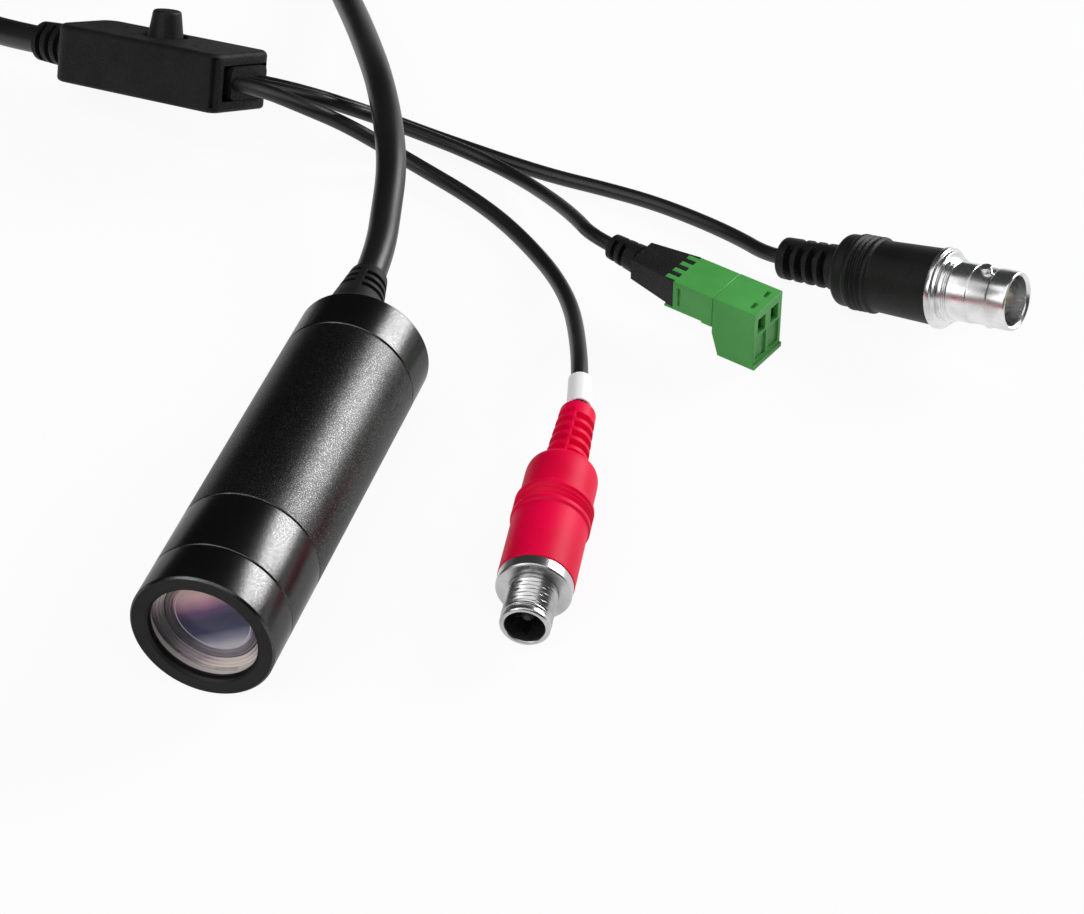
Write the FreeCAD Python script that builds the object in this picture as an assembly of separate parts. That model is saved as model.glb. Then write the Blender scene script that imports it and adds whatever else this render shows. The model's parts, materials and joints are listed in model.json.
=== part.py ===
import FreeCAD
import Part
import math
import os

# Miniature tube camera on a tether: a sealed barrel with a screw-in lens, its cable, an in-line
# joystick box and three breakout leads with their end pieces, lying on a table.
# Millimetres. The optical axis lies along Y and the lens faces -Y. +Z is up, and the origin is on
# the table under the middle of the barrel. Each sub-assembly is drawn in a frame of its own, with
# its long axis along local X, and then laid in its place.

V = FreeCAD.Vector
X_AXIS = V(1, 0, 0)
Y_AXIS = V(0, 1, 0)
Z_AXIS = V(0, 0, 1)

# Clearances
SLIP = 0.05            # radial gap of a screwed or sliding fit
PIVOT = 0.03           # radial gap of a small pivot
SEAT = 0.02            # gap between pieces that are held against each other
SEAM = 0.08            # gap of a joint that shows as a line

# Camera barrel, stations counted from the front face
BARREL_R = 11.0
CAP_LEN = 7.3
RING_LEN = 11.6
MAIN_LEN = 42.7
REAR_LEN = 8.7
SEAM_EDGE = 0.2        # bevel at each seam
FRONT_EDGE = 0.35
REAR_EDGE = 0.6

# Window in the front cap
WINDOW_RIM = 2.7       # width of the rim round the window
WINDOW_BEVEL = 0.4
LIP = 1.2              # depth of the lip in front of the window
GASKET = 0.3
GLASS_WALL = 2.0       # wall outside the glass
GLASS_T = 1.5
RETAINER_T = 1.0
RETAINER_W = 1.4
RETAINER_NOTCH = (1.4, 0.7)

# Screw joints between the barrel's sections
CAP_WALL = 1.4         # wall of the front cap round its thread
CAP_SPIGOT = 3.0       # length of thread that the front cap screws along
CAP_PITCH = 0.75
JOINT_WALL = 1.25
JOINT_LEN = 4.5
MAIN_WALL = 1.7
SEAL_W = 1.0
SEAL_H = 0.55

# Lens, holder and sensor
LENS_FRONT = 3.9
LENS_ROOM = 1.0        # gap round the lens head
LENS_HEAD_LEN = 5.0
LENS_LEN = 13.0
LENS_LIP = 0.45
LENS_RING_T = 0.8
LENS_RING_W = 0.55
GLASS_OVERLAP = 0.2    # how far the front ring reaches over the glass
FRONT_GLASS_T = 2.2
FRONT_CROWN = 0.9
STOP_STEP = 0.8        # seat round the rear glass
LENS_WALL = 2.1
REAR_GLASS_T = 2.2
REAR_CROWN = 0.5
FOCUS_RING_T = 0.8
FOCUS_RING_H = 0.7
FOCUS_TRAVEL = 0.5
HOLDER_WALL = 2.3
HOLDER_FRONT = 12.0
HOLDER_LEN = 8.0
HOLDER_WEB = 2.7       # holder between the lens thread and its rim
RING_WALL = 2.8
FILTER_RIM = 2.2
FILTER_T = 0.5
FILTER_DEPTH = 2.4
SENSOR = (1.0, 8.0, 6.4)

# Circuit boards behind the sensor
BOARD_GAP = 0.1
BOARD_T = 1.0
BOARD_PITCH = 11.0
BOARD_COUNT = 3
SCREW_R = 0.6
SCREW_HEAD_R = 1.05
SCREW_HEAD_T = 0.9
SCREW_COUNT = 3
SCREW_INSET = 1.3      # from the holder's rim to the screws' axes
SCREW_GRIP = 4.0       # thread inside the lens holder
SPACER_R = 1.15
LINK_SIZE = (7.0, 2.4)
LINK_OFFSET = -3.2
SOCKET = (3.6, 7.0, 3.4)
PROCESSOR_T = 1.1
INDUCTOR_R = 1.9
INDUCTOR_H = 2.8
INDUCTOR_INSET = 3.2
PART_GAP = 0.6         # between neighbouring parts on a board
WIRE_R = 0.4
WIRE_COUNT = 5
WIRE_SPREAD = 1.15
WIRE_GAP = 0.25

# Cable boot on the rear cap, set to one side of the middle
REAR_WALL = 3.5
REAR_RIM = 3.0
BOOT_INSET = 0.3       # gap between the boot's flange and the bore
BOOT_SHIFT = 0.95      # the neck sits further out than its flange
BOOT_NECK_R = 3.3
BOOT_FLANGE_R = 4.7
BOOT_FLANGE_T = 1.5
BOOT_COLLAR_R = 5.9
BOOT_COLLAR_LEN = 1.6
BOOT_LEAN = 5.0
BOOT_LEN = 17.0
BOOT_ROOT_R = 5.8
BOOT_TAIL_R = 3.2
BOOT_SLOTS = 3
BOOT_SLOT_FROM = 1.2   # plain rim at the tail
BOOT_SLOT_PITCH = 2.0
BOOT_SLOT_WEB = 9.0
SLOT_SHARE = 0.5       # width of a slot as a share of its pitch
SLOT_WEB = 15.0        # half angle of the plain spine between slots, in degrees

# Cable and leads
CABLE_D = 5.2
VIDEO_LEAD_D = 2.6
CONTROL_LEAD_D = 2.45
POWER_LEAD_D = 2.8
CABLE_RUN = 8.0        # straight run of the cable behind the camera's boot
RELIEF_RUN = 9.0
EXIT_RUN = 5.0
VIDEO_RUN = 3.5
HOOD_RUN = 5.0
POWER_RUN = 9.0
COIL_CENTRE = (-99.75, 184.1)
COIL_TURN_R = 31.0
COIL_COLUMNS = 4
COIL_LAYERS = 2
COIL_PITCH = 5.25
TIE_T = 0.8
TIE_W = 6.0
TIE_ANGLES = (100.0, 285.0)

# Control box, drawn with its underside at z = 0 and the leads leaving at +X
BOX = (38.28, 15.84, 10.49)
BOX_PLACE = (-63.5, 103.1)
BOX_YAW = -16.08
BOX_RISE = 8.47
BOX_ROLL = -23.72
BOX_WALL = 1.4
BOX_TAIL_R = 3.4
BOX_NOSE_R = 2.0
BOX_TOP_R = 1.0
BOX_BASE_R = 0.7
BOX_CAVITY_LEN = 23.0
STICK_HOLE_R = 4.15
END_POCKET = (2.2, 12.4, 6.4)
POCKET_OFFSET = 0.75
END_COLLAR = (2.8, 9.9, 5.9)
END_COLLAR_R = 1.2
LEAD_OFFSET = 1.1      # middle lead from the middle of the box
LEAD_AXIS_H = 5.2
LEAD_PITCH = 3.1
CORNER_NOTCH = (1.2, 1.3, 9.0)
CORNER_NOTCH_FROM = 0.9
CABLE_AXIS_H = 5.35
RELIEF_LEN = 8.8
RELIEF_ROOT_R = 4.1
RELIEF_TAIL_R = 3.65
RELIEF_SLOTS = 3
RELIEF_SLOT_FROM = 1.0
RELIEF_SLOT_PITCH = 2.3
PIN_MARK_R = 0.35
PIN_MARK_DEPTH = 0.5
PIN_MARKS = ((-12.1, -3.0), (-10.5, 2.6), (10.35, -3.2))

# Five-way switch in the box
SWITCH_AT = (-0.4, 1.6)
SWITCH_BOARD = (20.0, 8.0, 1.0)
SWITCH_W = 7.2
SWITCH_BASE_H = 2.2
SWITCH_CUP_R = 2.9
SWITCH_CUP_FLOOR = 0.6
SWITCH_COVER_T = 0.4
PRESS_TRAVEL = 0.3
PLUNGER_R = 2.4
PLUNGER_T = 0.5
STEM_R = 1.4
YOKE_T = 0.4
YOKE_W = 1.8
EAR_T = 0.6
EAR_H = 1.7
PIVOT_R = 0.42
PIVOT_H = 0.9          # height of the two pivots above the yoke
GIMBAL_W = 4.4
GIMBAL_BORE = 2.8
GIMBAL_T = 1.3
GIMBAL_GAP = 0.1
STICK_R = 1.0
STICK_LIFT = 0.25
STICK_LEN = 5.5
CAP_BASE_R = 3.35
CAP_TOP_R = 2.55
CAP_H = 5.45
CAP_SINK = 0.8         # how far the cap starts below the box's top
CAP_ROUND = 0.6

# Video end piece: moulding and bayonet jack, drawn from the lead towards its mouth
VIDEO_PLACE = (56.66, 88.06, 3.67)
VIDEO_YAW = -17.35
VIDEO_RISE = 11.16
VIDEO_BOOT_LEN = 11.9
VIDEO_BOOT_TAIL_R = 3.55
VIDEO_BOOT_ROOT_R = 3.9
VIDEO_BODY_LEN = 30.2
VIDEO_CORE_R = 2.1     # solid middle of the boot inside its slots
VIDEO_FRONT_R = 6.1
VIDEO_BAND = (14.4, 18.9)
VIDEO_BAND_R = 6.45
VIDEO_BODY_R = 6.0
VIDEO_MOUTH_R = 6.4
VIDEO_FLANGE_R = 6.8
VIDEO_FLANGE_T = 1.6
VIDEO_HUB_R = 5.3
VIDEO_HUB_LEN = 1.4
VIDEO_BARREL_R = 4.9
VIDEO_LEN = 43.8
VIDEO_BORE_R = 4.1
VIDEO_BEVEL = 0.4      # at the mouth of the bore
VIDEO_FLOOR = 34.6
LUG_R = 1.0
LUG_H = 0.75
LUG_FROM_MOUTH = 5.2
INSULATOR_R = 2.4
INSULATOR_BACK_R = 3.2
INSULATOR_SHORT = 5.0  # how far the insulator stops inside the mouth
CONTACT_R = 0.95
CONTACT_BORE_R = 0.55

# Power end piece: moulding and threaded jack
POWER_PLACE = (36.14, 32.55, 7.88)
POWER_YAW = -83.49
POWER_RISE = -3.0
POWER_ENTRY_LEAN = 7.0
POWER_ENTRY_DEPTH = 0.6
POWER_BOOT_LEN = 14.0
POWER_BOOT_TAIL_R = 2.85
POWER_BOOT_ROOT_R = 3.5
POWER_CORE_R = 2.1
POWER_BODY_LEN = 38.1
POWER_FRONT_R = 5.65
POWER_BAND = (21.5, 26.3)
POWER_BAND_R = 6.15
POWER_BODY_R = 5.85
POWER_FLANGE_R = 5.75
POWER_FLANGE_T = 2.0
POWER_THREAD_R = 3.85
POWER_BORE_R = 3.0
POWER_FLOOR = 40.5
POWER_LEN = 47.4
POWER_PIN_R = 1.0
POWER_PIN_SHORT = 2.0
POWER_INSERT_T = 2.0
SLEEVE_R = 1.95
SLEEVE_FIT = 0.2       # loose fit, because the lead bends a little inside
SLEEVE_LEN = 6.8
SLEEVE_GAP = 0.9

# Moulded band and shoulder shared by the two round mouldings
BAND_GROOVES = 3
BAND_GROOVE_PITCH = 0.95
BAND_GROOVE_W = 0.55
BAND_GROOVE_DEPTH = 0.4
BAND_BEVEL = 0.3
SHOULDER_R = 1.9
PLUG_SLOT_FROM = 1.9
VIDEO_SLOTS = 4
POWER_SLOTS = 5
POWER_SLOT_WEB = 7.0

# Control end piece: hood, header and pluggable block, drawn from the wire end at x = 0 backwards
BLOCK_PLACE = (59.02, 64.79)
BLOCK_YAW = -19.5
POLE_PITCH = 3.81
BLOCK_W = 8.3
BLOCK_H = 11.1
PLUG_LEN = 8.1
PLUG_FOOT_LEN = 6.8
PLUG_HEEL_H = 4.1
LEDGE_H = 0.9
LEDGE_OUT = 0.35
HEADER_H = 5.65
HEADER_LEN = 7.7
HEADER_WALL = 0.7
HEADER_SIDE = 0.5
HEADER_BACK = 1.8
HEADER_RAIL_LEN = 2.1
HEADER_RAIL_H = 0.3
KEY_SLOT = (0.5, 0.45, 3.6)
KEY_SLOT_FROM_BACK = 0.9
NOSE_LEN = 5.4
NOSE_GAP = 0.12
TOOTH_COUNT = 4
TOOTH_LEN = 2.0
TOOTH_W = 1.1
TOOTH_T = 0.8
FOOT_LEN = 1.7
FOOT_H = 0.45
WINDOW_W = 2.2
WINDOW_H = 3.0
WINDOW_TOP = 1.6       # below the block's top
PANEL_W = 3.1
PANEL_H = 4.6
PANEL_FROM = 1.4
PANEL_DEPTH = 0.35
TEST_SLOT = (0.8, 1.7, 0.7)
TEST_SLOT_BACK = 2.0
CHAMBER_W = 2.9
CHAMBER_LEN = 4.7
CHAMBER_SKIN = 0.9     # wall between the chamber and the wire face
CHAMBER_FLOOR = 1.6
CAGE_W = 2.6
CAGE_LEN = 4.1
CAGE_SIDE = 0.35
CAGE_TOP_T = 0.6
CAGE_OPENING = 2.6
CAGE_BLOCK_H = 1.6
CAGE_TRAVEL = 2.0
CLAMP_PITCH = 0.4
CLAMP_R = 0.8
CLAMP_HEAD_R = 1.15
CLAMP_HEAD_T = 1.1
CLAMP_SLOT = 0.4
CLAMP_ACCESS_R = 0.95
CLAMP_LIP = 0.3
BAR_T = 0.4
BAR_W = 1.5
SOCKET_W = 2.1
SOCKET_H = 2.1
PIN_W = 1.0
PIN_GAP = 0.12
HOOD_LEN = 9.2
HOOD_TAIL = (6.0, 3.9)
HOOD_RELIEF_LEN = 6.0
HOOD_RELIEF_ROOT_R = 2.6
HOOD_RELIEF_TAIL_R = 2.2
HOOD_RELIEF_LEAN = -6.0
HOOD_SLOTS = 2
HOOD_SLOT_FROM = 1.0
HOOD_SLOT_PITCH = 1.8
HOOD_AXIS_H = 9.0

# Places worked out from the sizes
RING_AT = CAP_LEN
MAIN_AT = RING_AT + RING_LEN
REAR_AT = MAIN_AT + MAIN_LEN
LENGTH = REAR_AT + REAR_LEN
WINDOW_R = BARREL_R - WINDOW_RIM
GLASS_R = BARREL_R - GLASS_WALL
RETAINER_R = GLASS_R - RETAINER_W
CAP_THREAD_R = BARREL_R - CAP_WALL
JOINT_R = BARREL_R - JOINT_WALL
SPIGOT_R = JOINT_R - SLIP
MAIN_BORE_R = BARREL_R - MAIN_WALL
RING_BORE_R = BARREL_R - RING_WALL
HOLDER_R = BARREL_R - HOLDER_WALL
REAR_BORE_R = BARREL_R - REAR_RIM
BOOT_FLANGE_OFFSET = REAR_BORE_R - BOOT_FLANGE_R - BOOT_INSET
BOOT_OFFSET = BOOT_FLANGE_OFFSET + BOOT_SHIFT
LENS_HEAD_R = RING_BORE_R - LENS_ROOM
LENS_RING_R = LENS_HEAD_R - LENS_LIP
LENS_RING_BORE = LENS_RING_R - LENS_RING_W
FRONT_GLASS_R = LENS_RING_BORE + GLASS_OVERLAP
LENS_THREAD_R = HOLDER_R - HOLDER_WEB
REAR_GLASS_R = LENS_THREAD_R - LENS_WALL
STOP_R = REAR_GLASS_R - STOP_STEP
FILTER_R = HOLDER_R - FILTER_RIM
BOARD_R = HOLDER_R - BOARD_GAP
SCREW_CIRCLE_R = HOLDER_R - SCREW_INSET
INDUCTOR_OFFSET = SCREW_CIRCLE_R - INDUCTOR_INSET
SOCKET_FLOOR = INDUCTOR_OFFSET - INDUCTOR_R - PART_GAP - SOCKET[2]
PROCESSOR_FLOOR = LINK_OFFSET + LINK_SIZE[1] + PART_GAP
PROCESSOR_W = SCREW_CIRCLE_R - SPACER_R - PART_GAP - PROCESSOR_FLOOR
CAP_SPIGOT_AT = CAP_LEN - CAP_SPIGOT
BOARD_AT = HOLDER_FRONT + HOLDER_LEN
LAST_BOARD_AT = BOARD_AT + (BOARD_COUNT - 1) * BOARD_PITCH
LAST_BOARD_BACK = LAST_BOARD_AT + BOARD_T
FOCUS_RING_AT = (LENS_FRONT + LENS_HEAD_LEN + HOLDER_FRONT - FOCUS_RING_T) / 2
BOX_FRONT = BOX[0] / 2
SWITCH_BOARD_TOP = BOX_WALL + SWITCH_BOARD[2]
SWITCH_TOP = SWITCH_BOARD_TOP + SWITCH_BASE_H + SWITCH_COVER_T
YOKE_AT = SWITCH_TOP + PRESS_TRAVEL + 2 * SLIP
PIVOT_AT = YOKE_AT + YOKE_T + PIVOT_H
CAP_AT = BOX[2] - CAP_SINK
HEADER_FRONT = -PLUG_LEN - SEAM
HEADER_TAIL = HEADER_FRONT - HEADER_LEN
HEADER_FLOOR = BLOCK_H - HEADER_H
HOOD_TAIL_AT = HEADER_TAIL - HOOD_LEN
NOSE_H = HEADER_H - 2 * HEADER_WALL - 2 * NOSE_GAP
NOSE_W = BLOCK_W - 2 * HEADER_SIDE - 2 * NOSE_GAP
PIN_H = HEADER_FLOOR + HEADER_H / 2
WINDOW_FLOOR = BLOCK_H - WINDOW_TOP - WINDOW_H
BAR_H = WINDOW_FLOOR - BAR_T
CAGE_FLOOR = BAR_H - SLIP - CAGE_BLOCK_H
CAGE_H = CAGE_BLOCK_H + CAGE_OPENING + CAGE_TOP_T
CHAMBER_H = BLOCK_H - WINDOW_TOP + SLIP - CHAMBER_FLOOR
COIL_HALF_W = COIL_COLUMNS * COIL_PITCH / 2
COIL_FLOOR = TIE_T + SEAT
COIL_H = CABLE_D + (COIL_LAYERS - 1) * COIL_PITCH


def laid(place, yaw=0.0, rise=0.0, roll=0.0):
    """Placement of a sub-assembly: turned by yaw, nose lifted by rise, rolled about its length."""
    return FreeCAD.Placement(V(*place), FreeCAD.Rotation(yaw, -rise, roll))


HEAD = laid((0, -LENGTH / 2, BARREL_R), yaw=90)
BOX_DOWN = laid((0, 0, 0), BOX_YAW, BOX_RISE, BOX_ROLL).inverse().multVec(V(0, 0, -1))
BOX_LIFT = ((BOX_FRONT - BOX_TAIL_R) * abs(BOX_DOWN.x) + (BOX[1] / 2 - BOX_TAIL_R) * abs(BOX_DOWN.y)
            + (BOX_TAIL_R - BOX_BASE_R) * math.hypot(BOX_DOWN.x, BOX_DOWN.y)
            + BOX_BASE_R * (1 + BOX_DOWN.z))
BOX_LAID = laid((*BOX_PLACE, BOX_LIFT), BOX_YAW, BOX_RISE, BOX_ROLL)
SWITCH_LAID = BOX_LAID.multiply(laid((*SWITCH_AT, 0)))
VIDEO_LAID = laid(VIDEO_PLACE, VIDEO_YAW, VIDEO_RISE)
POWER_LAID = laid(POWER_PLACE, POWER_YAW, POWER_RISE)
POWER_ENTRY = laid((0, 0, 0), yaw=POWER_ENTRY_LEAN)
POWER_ENTRY_LAID = POWER_LAID.multiply(POWER_ENTRY)
BLOCK_LAID = laid((*BLOCK_PLACE, 0), BLOCK_YAW)
BOOT_LAID = laid((LENGTH + BOOT_COLLAR_LEN / 2, BOOT_OFFSET, 0), yaw=BOOT_LEAN)
HOOD_RELIEF_LAID = laid((HOOD_TAIL_AT, 0, HOOD_AXIS_H), yaw=HOOD_RELIEF_LEAN)

COLLAR_FACE = BOX_FRONT - END_POCKET[0] + END_COLLAR[0]


# Straight ends of the cords: the point on the end piece, and one a short run out along its axis
def boot_end(run):
    """Point on the axis of the camera's boot, a run behind its tail."""
    return HEAD.multVec(BOOT_LAID.multVec(V(BOOT_LEN + run, 0, 0)))


def box_end(run):
    """Point on the axis of the box's cable relief."""
    return BOX_LAID.multVec(V(-BOX_FRONT - RELIEF_LEN - run, 0, CABLE_AXIS_H))


def lead_end(side, run):
    """Point in front of one of the box's three lead exits."""
    return BOX_LAID.multVec(V(COLLAR_FACE + run, LEAD_OFFSET + side * LEAD_PITCH, LEAD_AXIS_H))


def hood_end(run):
    """Point on the axis of the hood's relief."""
    return BLOCK_LAID.multVec(HOOD_RELIEF_LAID.multVec(V(-HOOD_RELIEF_LEN - run, 0, 0)))


def plug_end(place, run):
    """Point on the axis of a round end piece, a run behind its boot."""
    return place.multVec(V(-run, 0, 0))


# Cord routes on the table, chosen by hand
CABLE_ROUTE = [
    boot_end(0), boot_end(CABLE_RUN), V(-9.0, 72.7, 11.4), V(-11.0, 81.0, 12.2), V(-13.4, 88.0, 13.2),
    V(-17.2, 96.9, 13.8), V(-22.0, 106.9, 13.8), V(-28.6, 119.8, 11.4), V(-35.7, 133.5, 8.0),
    V(-42.9, 146.5, 5.0), V(-50.1, 158.7, 3.3), V(-55.4, 172.2, 2.9), V(-59.5, 184.4, 3.3),
    V(-62.4, 194.8, 3.45),
]
TAIL_ROUTE = [
    V(-138.65, 184.1, 8.65), V(-139.0, 172.0, 7.2), V(-137.4, 159.4, 4.9), V(-133.2, 146.8, 3.0),
    V(-126.2, 135.4, 2.65), V(-116.8, 126.2, 2.65), V(-107.2, 119.3, 3.2), box_end(RELIEF_RUN), box_end(0),
]
VIDEO_ROUTE = [
    lead_end(1, 0), lead_end(1, EXIT_RUN), V(-32.75, 103.75, 10.15), V(-27.6, 107.9, 6.1),
    V(-22.0, 110.8, 2.7), V(-14.1, 109.8, 1.6), V(-5.9, 107.8, 1.4), V(3.1, 105.5, 1.35),
    V(11.8, 103.6, 1.35), V(20.9, 102.5, 1.35), V(30.1, 100.9, 1.35), V(39.1, 98.0, 1.4),
    V(47.3, 94.2, 1.7), plug_end(VIDEO_LAID, VIDEO_RUN), plug_end(VIDEO_LAID, 0),
]
CONTROL_ROUTE = [
    lead_end(0, 0), lead_end(0, EXIT_RUN), V(-32.1, 101.0, 11.6), V(-26.5, 105.1, 7.5),
    V(-20.9, 107.7, 4.4), V(-13.0, 106.8, 3.2), V(-6.1, 104.9, 2.9), V(0.6, 103.2, 2.0),
    V(7.6, 98.9, 2.6), V(15.2, 91.3, 5.0), V(21.1, 84.0, 7.4), hood_end(HOOD_RUN), hood_end(0),
]
POWER_ROUTE = [
    lead_end(-1, 0), lead_end(-1, EXIT_RUN), V(-32.4, 96.5, 12.4), V(-25.9, 99.5, 8.0),
    V(-18.3, 100.2, 3.8), V(-10.0, 97.6, 2.1), V(-1.7, 93.7, 1.5), V(6.3, 88.3, 1.45),
    V(13.7, 81.6, 1.5), V(20.1, 74.4, 1.9), V(25.3, 65.7, 3.2), V(29.3, 55.8, 5.2),
    plug_end(POWER_ENTRY_LAID, POWER_RUN), plug_end(POWER_ENTRY_LAID, -POWER_ENTRY_DEPTH),
]


def turned(points):
    """Solid of revolution about local X from an outline of (x, radius) points."""
    outline = [V(x, 0, r) for x, r in points]
    face = Part.Face(Part.makePolygon(outline + outline[:1]))
    return face.revolve(V(), X_AXIS, 360)


def tube(start, length, outer, inner):
    """Plain ring or tube about local X."""
    end = start + length
    return turned([(start, inner), (start, outer), (end, outer), (end, inner)])


def rod(start, length, radius, y=0.0, z=0.0):
    """Plain round bar along local X."""
    return Part.makeCylinder(radius, length, V(start, y, z), X_AXIS)


def post(x, y, z, height, radius):
    """Plain round bar along local Z."""
    return Part.makeCylinder(radius, height, V(x, y, z), Z_AXIS)


def block(x, y, z, size):
    """Box that starts at x and z and is centred on y."""
    return Part.makeBox(*size, V(x, y - size[1] / 2, z))


def around(count, radius, phase=90.0):
    """Points on a circle in the local YZ plane."""
    angles = [math.radians(phase + 360.0 * step / count) for step in range(count)]
    return [(radius * math.cos(a), radius * math.sin(a)) for a in angles]


def joined(shapes):
    """One solid from overlapping shapes."""
    return shapes[0].multiFuse(shapes[1:]).removeSplitter()


def ring_sector(start, width, inner, outer, angle_from, sweep):
    """Part of a ring about local X, between two angles."""
    corners = [(start, inner), (start, outer), (start + width, outer), (start + width, inner)]
    outline = [V(x, 0, r) for x, r in corners]
    face = Part.Face(Part.makePolygon(outline + outline[:1]))
    face.rotate(V(), X_AXIS, angle_from)
    return face.revolve(V(), X_AXIS, sweep)


def slotted_boot(length, tail_r, root_r, core_r, slots, slot_from, pitch, web=SLOT_WEB):
    """Strain relief from its tail at x = 0: a cone with staggered slots on both sides of a spine."""
    boot = turned([(0, 0), (0, tail_r), (length, root_r), (length, 0)])
    width = pitch * SLOT_SHARE
    outer = max(tail_r, root_r) + 1
    cuts = []
    for side in range(2):
        angle_from = side * 180 + web
        for step in range(slots):
            start = slot_from + (step + side / 2) * pitch
            cuts.append(ring_sector(start, width, core_r, outer, angle_from, 180 - 2 * web))
    return boot.cut(Part.makeCompound(cuts))


def cord(route, diameter, label):
    """Tube along straight runs joined by the largest tangent arcs that the runs allow."""
    edges = []
    start = route[0]
    radii = []
    for before, point, after in zip(route, route[1:], route[2:]):
        back = before - point
        ahead = after - point
        reach = 0.45 * min(back.Length, ahead.Length)
        back.normalize()
        ahead.normalize()
        turn = math.pi - back.getAngle(ahead)
        radii.append(reach / math.tan(turn / 2))
        into = point + back * reach
        out = point + ahead * reach
        middle = back + ahead
        middle.normalize()
        sagitta = radii[-1] / math.cos(turn / 2) - radii[-1]
        edges.append(Part.LineSegment(start, into).toShape())
        edges.append(Part.Arc(into, point + middle * sagitta, out).toShape())
        start = out
    edges.append(Part.LineSegment(start, route[-1]).toShape())
    path = Part.Wire(edges)
    section = Part.Wire(Part.makeCircle(diameter / 2, route[0], route[1] - route[0]))
    solid = path.makePipeShell([section], True, False)
    expected = math.pi * diameter ** 2 / 4 * path.Length
    print(label, "length %.1f" % path.Length, "least radius %.1f" % min(radii),
          "volume ratio %.4f" % (solid.Volume / expected))
    return solid


def put(name, shape, place=None):
    """Write one piece, laid in its place, as parts/NAME.step."""
    if place is not None:
        shape = shape.copy()
        shape.Placement = place.multiply(shape.Placement)
    shape.exportStep("parts/%s.step" % name)


def front_cap():
    """Screw-on front cap with a lip that holds the window."""
    seat_r = GLASS_R + SLIP
    seal_r = CAP_THREAD_R + SEAL_H + SLIP
    seal_at = CAP_LEN - SEAL_W - 2 * SLIP
    return turned([
        (0, WINDOW_R + WINDOW_BEVEL), (0, BARREL_R - FRONT_EDGE), (FRONT_EDGE, BARREL_R),
        (CAP_LEN - SEAM_EDGE, BARREL_R), (CAP_LEN, BARREL_R - SEAM_EDGE), (CAP_LEN, seal_r),
        (seal_at, seal_r), (seal_at, CAP_THREAD_R), (CAP_SPIGOT_AT - SEAM, CAP_THREAD_R),
        (CAP_SPIGOT_AT - SEAM, seat_r), (LIP, seat_r), (LIP, WINDOW_R), (WINDOW_BEVEL, WINDOW_R),
    ])


def window_ring():
    """Threaded retainer behind the window, with two notches for a pin spanner."""
    at = LIP + GASKET + GLASS_T
    ring = tube(at, RETAINER_T, GLASS_R, RETAINER_R)
    width, depth = RETAINER_NOTCH
    reach = 2 * (RETAINER_R + depth)
    return ring.cut(block(at, 0, -reach / 2, (RETAINER_T, width, reach)))


def lens_housing():
    """Second section of the barrel: front spigot for the cap, seat for the lens holder, rear spigot."""
    groove_r = SPIGOT_R - SEAL_H
    groove_at = MAIN_AT + SEAM
    tail = MAIN_AT + JOINT_LEN
    return turned([
        (CAP_SPIGOT_AT, RING_BORE_R), (CAP_SPIGOT_AT, CAP_THREAD_R - SLIP),
        (RING_AT + SEAM, CAP_THREAD_R - SLIP), (RING_AT + SEAM, BARREL_R - SEAM_EDGE),
        (RING_AT + SEAM + SEAM_EDGE, BARREL_R), (MAIN_AT - SEAM_EDGE, BARREL_R),
        (MAIN_AT, BARREL_R - SEAM_EDGE), (MAIN_AT, groove_r), (groove_at + SEAL_W, groove_r),
        (groove_at + SEAL_W, SPIGOT_R), (tail, SPIGOT_R), (tail, HOLDER_R + SEAT),
        (HOLDER_FRONT, HOLDER_R + SEAT), (HOLDER_FRONT, RING_BORE_R),
    ])


def lens_barrel():
    """Screw-in lens body: wide head, threaded shank, seats for the two glasses and the front ring."""
    back = LENS_FRONT + LENS_LEN
    ring_seat = LENS_FRONT + LENS_RING_T
    glass_seat = ring_seat + FRONT_GLASS_T
    rear_seat = back - REAR_GLASS_T - LENS_RING_T
    head_back = LENS_FRONT + LENS_HEAD_LEN
    return turned([
        (LENS_FRONT, LENS_RING_R + SEAT), (LENS_FRONT, LENS_HEAD_R), (head_back, LENS_HEAD_R),
        (head_back, LENS_THREAD_R), (back, LENS_THREAD_R), (back, REAR_GLASS_R + SEAT),
        (rear_seat, REAR_GLASS_R + SEAT), (rear_seat, STOP_R), (glass_seat, STOP_R),
        (glass_seat, FRONT_GLASS_R + SEAT), (ring_seat, FRONT_GLASS_R + SEAT),
        (ring_seat, LENS_RING_R + SEAT),
    ])


def lens_glass(flat_at, thickness, radius, crown):
    """Plano-convex glass: flat side at flat_at, crowned towards the sign of thickness."""
    sign = math.copysign(1, thickness)
    rim = V(flat_at + thickness - sign * crown, 0, radius)
    crest = V(flat_at + thickness, 0, 0)
    sphere_r = (radius ** 2 + crown ** 2) / (2 * crown)
    half = math.asin(radius / sphere_r) / 2
    mid = V(crest.x - sign * sphere_r * (1 - math.cos(half)), 0, sphere_r * math.sin(half))
    edges = [
        Part.makeLine(V(flat_at, 0, 0), V(flat_at, 0, radius)),
        Part.makeLine(V(flat_at, 0, radius), rim),
        Part.Arc(rim, mid, crest).toShape(),
        Part.makeLine(crest, V(flat_at, 0, 0)),
    ]
    return Part.Face(Part.Wire(edges)).revolve(V(), X_AXIS, 360)


def lens_holder():
    """Disc with the lens thread, a filter recess behind it and holes for the board screws."""
    back = HOLDER_FRONT + HOLDER_LEN
    recess_at = back - FILTER_DEPTH
    holder = turned([
        (HOLDER_FRONT, LENS_THREAD_R + SLIP), (HOLDER_FRONT, HOLDER_R), (back, HOLDER_R),
        (back, FILTER_R + SLIP), (recess_at, FILTER_R + SLIP), (recess_at, LENS_THREAD_R + SLIP),
    ])
    for y, z in around(SCREW_COUNT, SCREW_CIRCLE_R):
        holder = holder.cut(rod(back - SCREW_GRIP - SLIP, SCREW_GRIP + SLIP, SCREW_R + SLIP, y, z))
    return holder


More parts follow.
